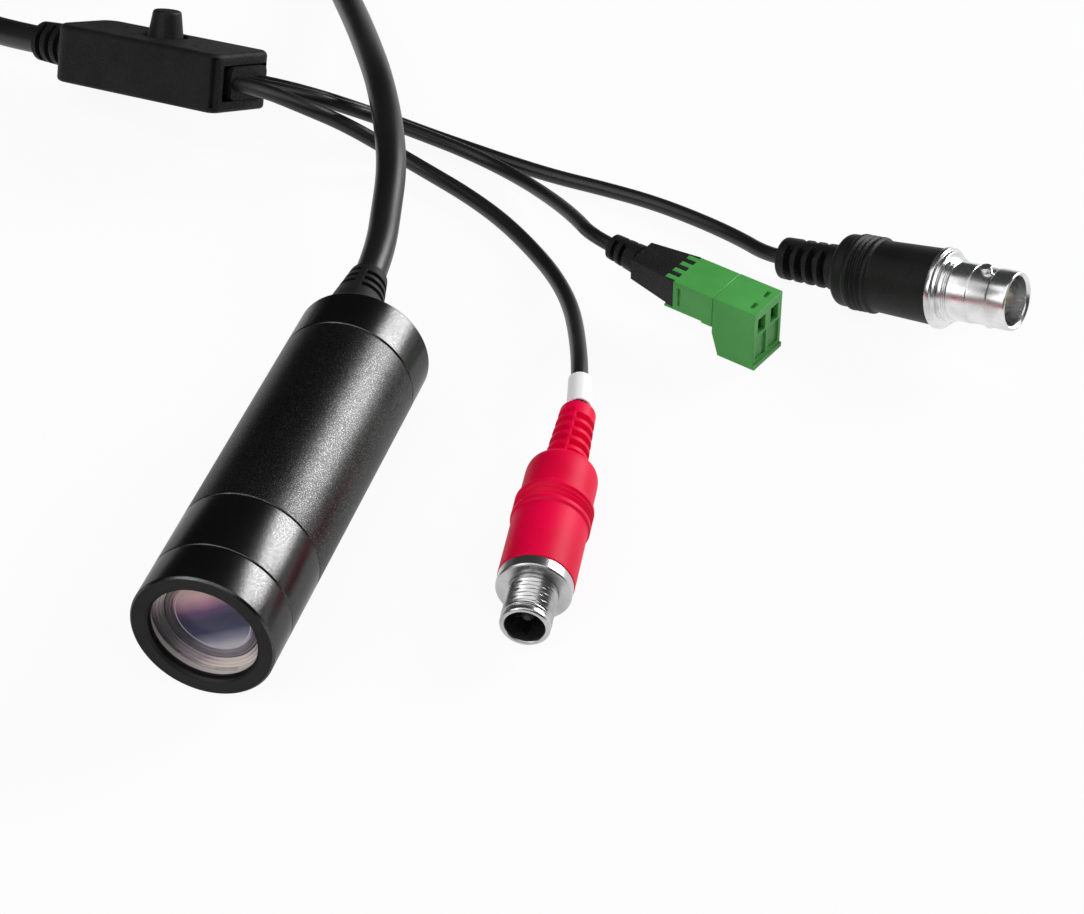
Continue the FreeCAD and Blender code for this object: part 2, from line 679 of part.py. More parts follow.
def circuit_board(index):
    """Round board with its screw holes."""
    at = BOARD_AT + index * BOARD_PITCH
    board = rod(at, BOARD_T, BOARD_R)
    for y, z in around(SCREW_COUNT, SCREW_CIRCLE_R):
        board = board.cut(rod(at, BOARD_T, SCREW_R + SLIP, y, z))
    return board


def board_spacers():
    """Spacer tubes between the boards."""
    spacers = []
    for index in range(BOARD_COUNT - 1):
        at = BOARD_AT + index * BOARD_PITCH + BOARD_T
        for y, z in around(SCREW_COUNT, SCREW_CIRCLE_R):
            spacer = tube(at, BOARD_PITCH - BOARD_T, SPACER_R, SCREW_R + SLIP)
            spacer.translate(V(0, y, z))
            spacers.append(spacer)
    return Part.makeCompound(spacers)


def board_screws():
    """Long screws that clamp the boards and spacers to the lens holder."""
    tip = BOARD_AT - SCREW_GRIP
    head_end = LAST_BOARD_BACK + SCREW_HEAD_T
    screws = []
    for y, z in around(SCREW_COUNT, SCREW_CIRCLE_R):
        screw = turned([(tip, 0), (tip, SCREW_R), (LAST_BOARD_BACK, SCREW_R),
                        (LAST_BOARD_BACK, SCREW_HEAD_R), (head_end, SCREW_HEAD_R), (head_end, 0)])
        screw.translate(V(0, y, z))
        screws.append(screw)
    return Part.makeCompound(screws)


def board_connectors():
    """Board-to-board links and the socket that takes the cable's wires."""
    links = []
    for index in range(BOARD_COUNT - 1):
        at = BOARD_AT + index * BOARD_PITCH + BOARD_T
        links.append(block(at, 0, LINK_OFFSET, (BOARD_PITCH - BOARD_T, *LINK_SIZE)))
    links.append(block(LAST_BOARD_BACK, 0, SOCKET_FLOOR, SOCKET))
    return Part.makeCompound(links)


def main_barrel():
    """Long middle section, counterbored at both ends for its neighbours."""
    start = MAIN_AT + SEAM
    end = REAR_AT
    depth = JOINT_LEN + SEAM
    return turned([
        (start, JOINT_R), (start, BARREL_R - SEAM_EDGE), (start + SEAM_EDGE, BARREL_R),
        (end - SEAM_EDGE, BARREL_R), (end, BARREL_R - SEAM_EDGE), (end, JOINT_R),
        (end - depth, JOINT_R), (end - depth, MAIN_BORE_R), (start + depth, MAIN_BORE_R),
        (start + depth, JOINT_R),
    ])


def joint_seal_rings():
    """Seal rings on the spigots at both ends of the main barrel."""
    groove_r = SPIGOT_R - SEAL_H
    starts = (MAIN_AT + SEAM, REAR_AT - SEAL_W)
    return Part.makeCompound([tube(at, SEAL_W - SEAT, JOINT_R - SEAT, groove_r + SEAT) for at in starts])


def rear_cap():
    """Rear cap: spigot, hollow for the wires, thick end wall bored off centre for the cable boot."""
    start = REAR_AT - JOINT_LEN
    face = REAR_AT + SEAM
    groove_r = SPIGOT_R - SEAL_H
    groove_at = REAR_AT - SEAL_W - SEAT
    inner = LENGTH - REAR_WALL
    cap = turned([
        (start, REAR_BORE_R), (start, SPIGOT_R), (groove_at, SPIGOT_R), (groove_at, groove_r),
        (face, groove_r), (face, BARREL_R - SEAM_EDGE), (face + SEAM_EDGE, BARREL_R),
        (LENGTH - REAR_EDGE, BARREL_R), (LENGTH, BARREL_R - REAR_EDGE), (LENGTH, 0), (inner, 0),
        (inner, REAR_BORE_R),
    ])
    return cap.cut(rod(inner, REAR_WALL, BOOT_NECK_R + SEAT, BOOT_OFFSET))


def cable_boot():
    """Moulded strain relief: flange inside the cap, neck through its wall, slotted cone outside."""
    inner = LENGTH - REAR_WALL
    flange = rod(inner - BOOT_FLANGE_T - SEAT, BOOT_FLANGE_T, BOOT_FLANGE_R, BOOT_FLANGE_OFFSET)
    neck = rod(inner - BOOT_FLANGE_T, REAR_WALL + BOOT_FLANGE_T + SEAT, BOOT_NECK_R, BOOT_OFFSET)
    collar = rod(LENGTH + SEAT, BOOT_COLLAR_LEN, BOOT_COLLAR_R, BOOT_OFFSET)
    cone = slotted_boot(BOOT_LEN, BOOT_TAIL_R, BOOT_ROOT_R, CABLE_D / 2, BOOT_SLOTS, BOOT_SLOT_FROM,
                        BOOT_SLOT_PITCH, BOOT_SLOT_WEB)
    cone.Placement = BOOT_LAID.multiply(laid((BOOT_LEN, 0, 0), yaw=180))
    return joined([flange, neck, collar, cone])


def cable_wires():
    """Insulated wires from the boot to the socket on the last board."""
    start_x = LAST_BOARD_BACK + SOCKET[0] + WIRE_GAP
    end_x = LENGTH - REAR_WALL - BOOT_FLANGE_T - WIRE_GAP
    wires = []
    for step in range(WIRE_COUNT):
        across = (step - (WIRE_COUNT - 1) / 2) * WIRE_SPREAD
        start = V(start_x, across, 0)
        run = V(end_x, BOOT_OFFSET + across, 0) - start
        wires.append(Part.makeCylinder(WIRE_R, run.Length, start, run))
    return Part.makeCompound(wires)


def coil_section(grow):
    """Upright outline of the coil's turns in the XZ plane, grown outwards by a distance."""
    inner = COIL_TURN_R - COIL_HALF_W - grow
    outer = COIL_TURN_R + COIL_HALF_W + grow
    low = COIL_FLOOR - grow
    high = COIL_FLOOR + COIL_H + grow
    bevel = CABLE_D / 3
    corners = [
        (inner + bevel, low), (outer - bevel, low), (outer, low + bevel), (outer, high - bevel),
        (outer - bevel, high), (inner + bevel, high), (inner, high - bevel), (inner, low + bevel),
    ]
    outline = [V(x, 0, z) for x, z in corners]
    return Part.Face(Part.makePolygon(outline + outline[:1]))


def cable_coil():
    """Outer shape of the tied coil that takes up the rest of the cable."""
    return coil_section(0).revolve(V(), Z_AXIS, 360)


def coil_ties():
    """Flat straps round the coil's bundle."""
    sweep = math.degrees(TIE_W / COIL_TURN_R)
    band = coil_section(COIL_FLOOR).cut(coil_section(SEAT))
    ties = []
    for angle in TIE_ANGLES:
        strap = band.copy()
        strap.rotate(V(), Z_AXIS, angle - sweep / 2)
        ties += strap.revolve(V(), Z_AXIS, sweep).Solids
    return Part.makeCompound(ties)


def control_box():
    """One-piece soft moulding round the switch: hole for the stick, lead collar, cable relief."""
    length, width, height = BOX
    shell = block(-length / 2, 0, 0, BOX)
    for radius, side in ((BOX_TAIL_R, -1), (BOX_NOSE_R, 1)):
        uprights = [edge for edge in shell.Edges if edge.BoundBox.ZLength > height - SEAT]
        corners = [edge for edge in uprights if side * edge.CenterOfMass.x > BOX_FRONT - SEAT]
        shell = shell.makeFillet(radius, corners)
    top = [edge for edge in shell.Edges if edge.BoundBox.ZMin > height - SEAT]
    shell = shell.makeFillet(BOX_TOP_R, top)
    base = [edge for edge in shell.Edges if edge.BoundBox.ZMax < SEAT]
    shell = shell.makeFillet(BOX_BASE_R, base)
    notch_y = (CORNER_NOTCH[1] - width) / 2
    notch = block(BOX_FRONT - CORNER_NOTCH[0], notch_y, CORNER_NOTCH_FROM, CORNER_NOTCH)
    pocket_at = BOX_FRONT - END_POCKET[0]
    pocket = block(pocket_at, POCKET_OFFSET, LEAD_AXIS_H - END_POCKET[2] / 2, END_POCKET)
    collar = block(pocket_at, LEAD_OFFSET, LEAD_AXIS_H - END_COLLAR[2] / 2, END_COLLAR)
    sides = [edge for edge in collar.Edges if abs(edge.tangentAt(0).x) > 0.9]
    collar = collar.makeFillet(END_COLLAR_R, sides)
    relief = slotted_boot(RELIEF_LEN, RELIEF_TAIL_R, RELIEF_ROOT_R, CABLE_D / 2, RELIEF_SLOTS,
                          RELIEF_SLOT_FROM, RELIEF_SLOT_PITCH)
    relief.translate(V(-BOX_FRONT - RELIEF_LEN, 0, CABLE_AXIS_H))
    inside = (BOX_CAVITY_LEN, width - 2 * BOX_WALL, height - 2 * BOX_WALL)
    cavity = block(-BOX_CAVITY_LEN / 2, 0, BOX_WALL, inside)
    hole = post(*SWITCH_AT, height - 2 * BOX_WALL, 3 * BOX_WALL, STICK_HOLE_R)
    marks = [post(x, y, height - PIN_MARK_DEPTH, BOX_WALL, PIN_MARK_R) for x, y in PIN_MARKS]
    body = joined([shell.cut(pocket).cut(notch), collar, relief])
    return body.cut(Part.makeCompound([cavity, hole])).cut(Part.makeCompound(marks))


def switch_base():
    """Square switch body with a round cup for the plunger."""
    body = block(-SWITCH_W / 2, 0, SWITCH_BOARD_TOP, (SWITCH_W, SWITCH_W, SWITCH_BASE_H))
    return body.cut(post(0, 0, SWITCH_BOARD_TOP + SWITCH_CUP_FLOOR, SWITCH_BASE_H, SWITCH_CUP_R))


def switch_cover():
    """Metal cover plate with the hole that guides the plunger's stem."""
    at = SWITCH_BOARD_TOP + SWITCH_BASE_H
    plate = block(-SWITCH_W / 2, 0, at, (SWITCH_W, SWITCH_W, SWITCH_COVER_T))
    return plate.cut(post(0, 0, at, SWITCH_COVER_T, STEM_R + SLIP))


def switch_plunger():
    """Plunger with a yoke on top: two ears hold the gimbal's pivots."""
    cup_floor = SWITCH_BOARD_TOP + SWITCH_CUP_FLOOR
    flange_at = cup_floor + PRESS_TRAVEL + 2 * SLIP
    ear_in = GIMBAL_W / 2 + GIMBAL_GAP
    reach = 2 * (ear_in + EAR_T)
    flange = post(0, 0, flange_at, PLUNGER_T, PLUNGER_R)
    stem = post(0, 0, flange_at, YOKE_AT + YOKE_T - flange_at, STEM_R)
    yoke = block(-reach / 2, 0, YOKE_AT, (reach, YOKE_W, YOKE_T))
    ears = [block(x, 0, YOKE_AT, (EAR_T, YOKE_W, YOKE_T + EAR_H)) for x in (-reach / 2, ear_in)]
    body = joined([flange, stem, yoke, *ears])
    return body.cut(rod(-reach / 2, reach, PIVOT_R + PIVOT, 0, PIVOT_AT))


def switch_gimbal():
    """Square ring with pivots along X and pivot holes along Y."""
    outer = (GIMBAL_W, GIMBAL_W, GIMBAL_T)
    inner = (GIMBAL_BORE, GIMBAL_BORE, GIMBAL_T)
    floor = PIVOT_AT - GIMBAL_T / 2
    ring = block(-GIMBAL_W / 2, 0, floor, outer)
    reach = GIMBAL_W + 2 * (GIMBAL_GAP + EAR_T)
    ring = joined([ring, rod(-reach / 2, reach, PIVOT_R, 0, PIVOT_AT)])
    ring = ring.cut(block(-GIMBAL_BORE / 2, 0, floor, inner))
    cross = Part.makeCylinder(PIVOT_R + PIVOT, GIMBAL_W, V(0, -GIMBAL_W / 2, PIVOT_AT), Y_AXIS)
    return ring.cut(cross)


def switch_stick():
    """Upright stick with a cross pin along Y."""
    foot = YOKE_AT + YOKE_T + STICK_LIFT
    stick = post(0, 0, foot, STICK_LEN, STICK_R)
    pin = Part.makeCylinder(PIVOT_R, GIMBAL_W, V(0, -GIMBAL_W / 2, PIVOT_AT), Y_AXIS)
    return joined([stick, pin])


def joystick_cap():
    """Tapered finger cap on the stick."""
    top = CAP_AT + CAP_H
    outline = [V(0, 0, CAP_AT), V(CAP_BASE_R, 0, CAP_AT), V(CAP_TOP_R, 0, top), V(0, 0, top)]
    cap = Part.Face(Part.makePolygon(outline + outline[:1])).revolve(V(), Z_AXIS, 360)
    rim = [edge for edge in cap.Edges if edge.BoundBox.ZMin > top - SEAT and edge.BoundBox.XLength > STICK_R]
    cap = cap.makeFillet(CAP_ROUND, rim)
    stick_top = YOKE_AT + YOKE_T + STICK_LIFT + STICK_LEN
    return cap.cut(post(0, 0, CAP_AT, stick_top - CAP_AT, STICK_R + SEAT))


def band(span, radius):
    """Outline points of a raised band with finger grooves about its middle."""
    start, end = span
    points = [(start + BAND_BEVEL, radius)]
    for step in range(BAND_GROOVES):
        middle = (start + end) / 2 + (step - (BAND_GROOVES - 1) / 2) * BAND_GROOVE_PITCH
        points += [(middle - BAND_GROOVE_W / 2, radius), (middle, radius - BAND_GROOVE_DEPTH),
                   (middle + BAND_GROOVE_W / 2, radius)]
    return points + [(end - BAND_BEVEL, radius)]


def moulding(boot, front_r, span, band_r, body_r, length, mouth_r):
    """Round moulding: rounded shoulder, grooved band, plain body that widens a little to its mouth."""
    body = turned([
        (boot, 0), (boot, front_r), (span[0], front_r), *band(span, band_r), (span[1], body_r),
        (length, mouth_r), (length, 0),
    ])
    rim = [edge for edge in body.Edges
           if edge.BoundBox.XMax < boot + SEAT and edge.BoundBox.YLength > front_r]
    return body.makeFillet(SHOULDER_R, rim)


def video_moulding():
    """Black moulding with its slotted boot."""
    pitch = (VIDEO_BOOT_LEN - PLUG_SLOT_FROM) / (VIDEO_SLOTS + 0.5)
    boot = slotted_boot(VIDEO_BOOT_LEN + SLIP, VIDEO_BOOT_TAIL_R, VIDEO_BOOT_ROOT_R, VIDEO_CORE_R,
                        VIDEO_SLOTS, PLUG_SLOT_FROM, pitch)
    body = moulding(VIDEO_BOOT_LEN, VIDEO_FRONT_R, VIDEO_BAND, VIDEO_BAND_R, VIDEO_BODY_R,
                    VIDEO_BODY_LEN, VIDEO_MOUTH_R)
    return joined([boot, body])


def video_shell():
    """Plated bayonet jack: flange, hub, open barrel and two locking lugs."""
    flange_at = VIDEO_BODY_LEN + SEAT
    hub_at = flange_at + VIDEO_FLANGE_T
    barrel_at = hub_at + VIDEO_HUB_LEN
    shell = turned([
        (flange_at, INSULATOR_BACK_R + SEAT), (flange_at, VIDEO_FLANGE_R), (hub_at, VIDEO_FLANGE_R),
        (hub_at, VIDEO_HUB_R), (barrel_at, VIDEO_HUB_R), (barrel_at, VIDEO_BARREL_R),
        (VIDEO_LEN, VIDEO_BARREL_R), (VIDEO_LEN, VIDEO_BORE_R + VIDEO_BEVEL),
        (VIDEO_LEN - VIDEO_BEVEL, VIDEO_BORE_R), (VIDEO_FLOOR, VIDEO_BORE_R),
        (VIDEO_FLOOR, INSULATOR_BACK_R + SEAT),
    ])
    reach = VIDEO_BARREL_R + LUG_H
    lug = post(VIDEO_LEN - LUG_FROM_MOUTH, 0, -reach, 2 * reach, LUG_R)
    lug = lug.cut(rod(0, VIDEO_LEN, (VIDEO_BARREL_R + VIDEO_BORE_R) / 2))
    return joined([shell, *lug.Solids])


def video_insulator():
    """Stepped insulator in the jack, bored for the contact."""
    back = VIDEO_BODY_LEN + SEAT
    mouth = VIDEO_LEN - INSULATOR_SHORT
    return turned([
        (back, CONTACT_R + SEAT), (back, INSULATOR_BACK_R), (VIDEO_FLOOR, INSULATOR_BACK_R),
        (VIDEO_FLOOR, INSULATOR_R), (mouth, INSULATOR_R), (mouth, CONTACT_R + SEAT),
    ])


def video_contact():
    """Hollow centre contact."""
    back = VIDEO_BODY_LEN + SEAT
    mouth = VIDEO_LEN - INSULATOR_SHORT + SLIP
    return turned([(back, 0), (back, CONTACT_R), (mouth, CONTACT_R), (mouth, CONTACT_BORE_R),
                   (VIDEO_FLOOR, CONTACT_BORE_R), (VIDEO_FLOOR, 0)])


def power_moulding():
    """Coloured moulding with its slotted boot, which the lead enters at a slant."""
    pitch = (POWER_BOOT_LEN - PLUG_SLOT_FROM) / (POWER_SLOTS + 0.5)
    boot = slotted_boot(POWER_BOOT_LEN + SLIP, POWER_BOOT_TAIL_R, POWER_BOOT_ROOT_R,
                        POWER_CORE_R, POWER_SLOTS, PLUG_SLOT_FROM, pitch, POWER_SLOT_WEB)
    body = moulding(POWER_BOOT_LEN, POWER_FRONT_R, POWER_BAND, POWER_BAND_R, POWER_BODY_R,
                    POWER_BODY_LEN, POWER_BODY_R)
    entry = rod(-POWER_ENTRY_DEPTH, 2 * POWER_ENTRY_DEPTH, POWER_LEAD_D / 2 + SLIP)
    entry.Placement = POWER_ENTRY
    return joined([boot, body]).cut(entry)


def power_shell():
    """Plated power jack: flange and threaded barrel."""
    flange_at = POWER_BODY_LEN + SEAT
    thread_at = flange_at + POWER_FLANGE_T
    return turned([
        (flange_at, POWER_BORE_R), (flange_at, POWER_FLANGE_R), (thread_at, POWER_FLANGE_R),
        (thread_at, POWER_THREAD_R), (POWER_LEN - SEAM_EDGE, POWER_THREAD_R),
        (POWER_LEN, POWER_THREAD_R - SEAM_EDGE), (POWER_LEN, POWER_BORE_R),
    ])


def power_insulator():
    """Insulating insert at the bottom of the jack."""
    start = POWER_FLOOR - POWER_INSERT_T
    return tube(start, POWER_INSERT_T, POWER_BORE_R - SEAT, POWER_PIN_R + SEAT)


def power_pin():
    """Centre pin with a rounded tip."""
    start = POWER_BODY_LEN + SEAT
    end = POWER_LEN - POWER_PIN_SHORT
    return turned([(start, 0), (start, POWER_PIN_R), (end - POWER_PIN_R / 2, POWER_PIN_R),
                   (end, POWER_PIN_R / 2), (end, 0)])


def marker_sleeve():
    """White marker sleeve on the power lead, just behind the boot."""
    return tube(-SLEEVE_GAP - SLEEVE_LEN, SLEEVE_LEN, SLEEVE_R, POWER_LEAD_D / 2 + SLEEVE_FIT)


def rectangle(x, width, low, high):
    """Upright rectangular wire across local X."""
    half = width / 2
    corners = [V(x, -half, low), V(x, half, low), V(x, half, high), V(x, -half, high)]
    return Part.makePolygon(corners + corners[:1])


def teeth(gap):
    """Keys on top of the header that lock into the hood, grown by a gap."""
    size = (TOOTH_LEN + gap, TOOTH_W + 2 * gap, TOOTH_T + gap)
    pitch = BLOCK_W / TOOTH_COUNT
    first = (pitch - BLOCK_W) / 2
    start = HEADER_TAIL - TOOTH_LEN - gap
    return [block(start, first + step * pitch, BLOCK_H - TOOTH_T - gap, size) for step in range(TOOTH_COUNT)]


def terminal_hood():
    """Tapered hood behind the header, keyed by its teeth, with a slotted relief that leans."""
    tail_low = HOOD_AXIS_H - HOOD_TAIL[1] / 2
    front = rectangle(HEADER_TAIL - SEAT, BLOCK_W, HEADER_FLOOR + FOOT_H + SEAT, BLOCK_H)
    back = rectangle(HOOD_TAIL_AT, HOOD_TAIL[0], tail_low, tail_low + HOOD_TAIL[1])
    hood = Part.makeLoft([front, back], True, True)
    hood = hood.cut(Part.makeCompound(teeth(SEAT)))
    for x, z in header_pin_places():
        hood = hood.cut(block(HEADER_TAIL - HEADER_BACK - SEAT, x, z - PIN_W / 2 - SEAT,
                              (HEADER_BACK + SEAT, PIN_W + 2 * SEAT, PIN_W + 2 * SEAT)))
    relief = slotted_boot(HOOD_RELIEF_LEN, HOOD_RELIEF_TAIL_R, HOOD_RELIEF_ROOT_R, CONTROL_LEAD_D / 2,
                          HOOD_SLOTS, HOOD_SLOT_FROM, HOOD_SLOT_PITCH)
    relief.Placement = HOOD_RELIEF_LAID.multiply(laid((-HOOD_RELIEF_LEN, 0, 0)))
    knuckle = rod(HOOD_TAIL_AT - HOOD_TAIL[1] / 4, HOOD_TAIL[1] / 2, HOOD_TAIL[1] / 2, 0, HOOD_AXIS_H)
    return joined([hood, knuckle, relief])


def header_pin_places():
    """Offset across and height of each pole."""
    return [(side * POLE_PITCH / 2, PIN_H) for side in (-1, 1)]


def terminal_header():
    """Header that stays on the lead: a shroud open at its front, keyed to the hood at its back."""
    size = (HEADER_LEN, BLOCK_W, HEADER_H)
    inside = (HEADER_LEN - HEADER_BACK, BLOCK_W - 2 * HEADER_SIDE, HEADER_H - 2 * HEADER_WALL)
    body = block(HEADER_TAIL, 0, HEADER_FLOOR, size)
    foot = block(HEADER_TAIL - FOOT_LEN, 0, HEADER_FLOOR, (FOOT_LEN, BLOCK_W, FOOT_H))
    rail = block(HEADER_FRONT - HEADER_RAIL_LEN, 0, HEADER_FLOOR - HEADER_RAIL_H,
                 (HEADER_RAIL_LEN, BLOCK_W, HEADER_RAIL_H))
    body = joined([body, foot, rail, *teeth(0)])
    body = body.cut(block(HEADER_TAIL + HEADER_BACK, 0, HEADER_FLOOR + HEADER_WALL, inside))
    for side in (-1, 1):
        middle = side * (BLOCK_W - KEY_SLOT[1]) / 2
        body = body.cut(block(HEADER_TAIL + KEY_SLOT_FROM_BACK, middle, PIN_H - KEY_SLOT[2] / 2, KEY_SLOT))
    for y, z in header_pin_places():
        hole = PIN_W + 2 * SEAT
        body = body.cut(block(HEADER_TAIL, y, z - hole / 2, (HEADER_BACK, hole, hole)))
    return body


def header_pins():
    """Square contact pins of the header."""
    start = HEADER_TAIL - HEADER_BACK
    length = HEADER_FRONT - 1.5 * HEADER_BACK - start
    return Part.makeCompound([block(start, y, z - PIN_W / 2, (length, PIN_W, PIN_W))
                              for y, z in header_pin_places()])


def terminal_plug():
    """Pluggable block: tall body with wire windows, and a nose that goes into the header."""
    outline = [(-PLUG_LEN, BLOCK_H), (0, BLOCK_H), (0, LEDGE_H), (LEDGE_OUT, LEDGE_H), (LEDGE_OUT, 0),
               (-PLUG_FOOT_LEN, 0), (-PLUG_LEN, PLUG_HEEL_H)]
    points = [V(x, -BLOCK_W / 2, z) for x, z in outline]
    body = Part.Face(Part.makePolygon(points + points[:1])).extrude(V(0, BLOCK_W, 0))
    nose = block(-PLUG_LEN - NOSE_LEN, 0, PIN_H - NOSE_H / 2, (NOSE_LEN + SLIP, NOSE_W, NOSE_H))
    body = joined([body, nose])
    hollow_h = BLOCK_H - WINDOW_TOP + SLIP - BAR_H + SLIP
    cuts = []
    for y, z in header_pin_places():
        cuts.append(block(-CHAMBER_SKIN - CHAMBER_LEN, y, CHAMBER_FLOOR,
                          (CHAMBER_LEN, CHAMBER_W, CHAMBER_H)))
        cuts.append(block(-CHAMBER_SKIN - SLIP, y, WINDOW_FLOOR, (2 * CHAMBER_SKIN, WINDOW_W, WINDOW_H)))
        cuts.append(block(-PANEL_DEPTH, y, PANEL_FROM, (PANEL_DEPTH, PANEL_W, PANEL_H)))
        cuts.append(block(-TEST_SLOT_BACK, y, BLOCK_H - TEST_SLOT[2], TEST_SLOT))
        cuts.append(block(-PLUG_LEN - NOSE_LEN + HEADER_WALL, y, BAR_H - SLIP,
                          (NOSE_LEN + PLUG_LEN - HEADER_WALL - CHAMBER_SKIN - CHAMBER_LEN + SLIP,
                           SOCKET_W + 2 * SLIP, hollow_h)))
        cuts.append(block(-PLUG_LEN - NOSE_LEN, y, z - PIN_W / 2 - PIN_GAP,
                          (2 * HEADER_WALL, PIN_W + 2 * PIN_GAP, PIN_W + 2 * PIN_GAP)))
        cuts.append(post(clamp_x(), y, 0, CHAMBER_FLOOR, CLAMP_ACCESS_R))
        cuts.append(post(clamp_x(), y, CLAMP_LIP, CHAMBER_FLOOR, CLAMP_HEAD_R + SLIP))
    return body.cut(Part.makeCompound(cuts[:1]).multiFuse(cuts[1:]))


def clamp_x():
    """Station of the clamp screws, in the middle of their chambers."""
    return -CHAMBER_SKIN - CHAMBER_LEN / 2


def plug_contacts():
    """Contact of each pole: socket for the header's pin, riser and clamp bar in one piece."""
    contacts = []
    socket_from = -PLUG_LEN - NOSE_LEN + HEADER_WALL + SLIP
    socket_to = -CHAMBER_SKIN - CHAMBER_LEN - BAR_T
    bar_to = -CHAMBER_SKIN - (CHAMBER_LEN - CAGE_LEN) / 2
    hole = PIN_W + 2 * PIN_GAP
    for y, z in header_pin_places():
        sleeve = block(socket_from, y, z - SOCKET_H / 2, (socket_to - socket_from, SOCKET_W, SOCKET_H))
        sleeve = sleeve.cut(block(socket_from, y, z - hole / 2, (socket_to - socket_from, hole, hole)))
        riser = block(socket_to - BAR_T, y, BAR_H, (BAR_T, SOCKET_W, z + SOCKET_H / 2 - BAR_H))
        bar = block(socket_to - BAR_T, y, BAR_H, (bar_to - socket_to + BAR_T, BAR_W, BAR_T))
        contacts.append(joined([sleeve, riser, bar]))
    return Part.makeCompound(contacts)


def wire_cage(side):
    """Rising cage: a frame open along the wire, with a tapped block below."""
    y = side * POLE_PITCH / 2
    at = clamp_x() - CAGE_LEN / 2
    cage = block(at, y, CAGE_FLOOR, (CAGE_LEN, CAGE_W, CAGE_H))
    cage = cage.cut(block(at, y, CAGE_FLOOR + CAGE_BLOCK_H,
                          (CAGE_LEN, CAGE_W - 2 * CAGE_SIDE, CAGE_OPENING)))
    return cage.cut(post(clamp_x(), y, CAGE_FLOOR, CAGE_BLOCK_H, CLAMP_R + SLIP))


def clamp_screw(side):
    """Clamp screw with a slotted head, reached through the block's underside."""
    y = side * POLE_PITCH / 2
    head = post(clamp_x(), y, CLAMP_LIP + SLIP, CLAMP_HEAD_T, CLAMP_HEAD_R)
    head = head.cut(block(clamp_x() - CLAMP_HEAD_R, y, CLAMP_LIP + SLIP,
                          (2 * CLAMP_HEAD_R, CLAMP_SLOT, CLAMP_SLOT)))
    shank_from = CLAMP_LIP + SLIP + CLAMP_HEAD_T
    shank = post(clamp_x(), y, shank_from, BAR_H - SLIP - shank_from, CLAMP_R)
    return joined([head, shank])


def write_head():
    """Barrel, window, lens and the boards inside."""
    glass_at = LIP + GASKET
    ring_at = LENS_FRONT + LENS_RING_T
    lens_back = LENS_FRONT + LENS_LEN
    seal_at = CAP_LEN - SEAL_W - SLIP
    pieces = {
        "front_cap": front_cap(),
        "window_seal": tube(LIP, GASKET, GLASS_R, WINDOW_R),
        "window_glass": rod(glass_at, GLASS_T, GLASS_R),
        "window_ring": window_ring(),
        "cap_seal_ring": tube(seal_at, SEAL_W, CAP_THREAD_R + SEAL_H, CAP_THREAD_R),
        "lens_housing": lens_housing(),
        "lens_holder": lens_holder(),
        "lens_barrel": lens_barrel(),
        "lens_front_ring": tube(LENS_FRONT, LENS_RING_T - SEAT, LENS_RING_R, LENS_RING_BORE),
        "lens_front_element": lens_glass(ring_at + FRONT_GLASS_T, -FRONT_GLASS_T, FRONT_GLASS_R,
                                         FRONT_CROWN),
        "lens_rear_element": lens_glass(lens_back - LENS_RING_T - REAR_GLASS_T, REAR_GLASS_T,
                                        REAR_GLASS_R, REAR_CROWN),
        "focus_seal_ring": tube(FOCUS_RING_AT, FOCUS_RING_T, LENS_THREAD_R + FOCUS_RING_H,
                                LENS_THREAD_R + SLIP),
        "ir_filter": rod(BOARD_AT - FILTER_DEPTH + SEAT, FILTER_T, FILTER_R),
        "image_sensor": block(BOARD_AT - SENSOR[0], 0, -SENSOR[2] / 2, SENSOR),
        "sensor_board": circuit_board(0),
        "processor_board": circuit_board(1),
        "power_board": circuit_board(2),
        "board_spacers": board_spacers(),
        "board_screws": board_screws(),
        "board_connectors": board_connectors(),
        "video_processor": block(BOARD_AT + BOARD_PITCH - PROCESSOR_T, 0, PROCESSOR_FLOOR,
                                 (PROCESSOR_T, PROCESSOR_W, PROCESSOR_W)),
        "power_inductor": rod(LAST_BOARD_BACK, INDUCTOR_H, INDUCTOR_R, 0, INDUCTOR_OFFSET),
        "main_barrel": main_barrel(),
        "joint_seal_rings": joint_seal_rings(),
        "rear_cap": rear_cap(),
        "cable_boot": cable_boot(),
        "cable_wires": cable_wires(),
    }
    for name, shape in pieces.items():
        put(name, shape, HEAD)


def write_cords():
    """Cable, its coil with ties, and the three leads."""
    coil_place = laid((*COIL_CENTRE, 0))
    put("camera_cable", cord(CABLE_ROUTE, CABLE_D, "camera_cable"))
    put("cable_tail", cord(TAIL_ROUTE, CABLE_D, "cable_tail"))
    put("cable_coil", cable_coil(), coil_place)
    put("coil_ties", coil_ties(), coil_place)
    put("video_lead", cord(VIDEO_ROUTE, VIDEO_LEAD_D, "video_lead"))
    put("control_lead", cord(CONTROL_ROUTE, CONTROL_LEAD_D, "control_lead"))
    put("power_lead", cord(POWER_ROUTE, POWER_LEAD_D, "power_lead"))


def write_box():
    """Control box and its switch."""
    put("control_box", control_box(), BOX_LAID)
    pieces = {
        "switch_board": block(-SWITCH_BOARD[0] / 2, 0, BOX_WALL, SWITCH_BOARD),
        "switch_base": switch_base(),
        "switch_cover": switch_cover(),
        "switch_plunger": switch_plunger(),
        "switch_gimbal": switch_gimbal(),
        "switch_stick": switch_stick(),
        "joystick_cap": joystick_cap(),
    }
    for name, shape in pieces.items():
        put(name, shape, SWITCH_LAID)


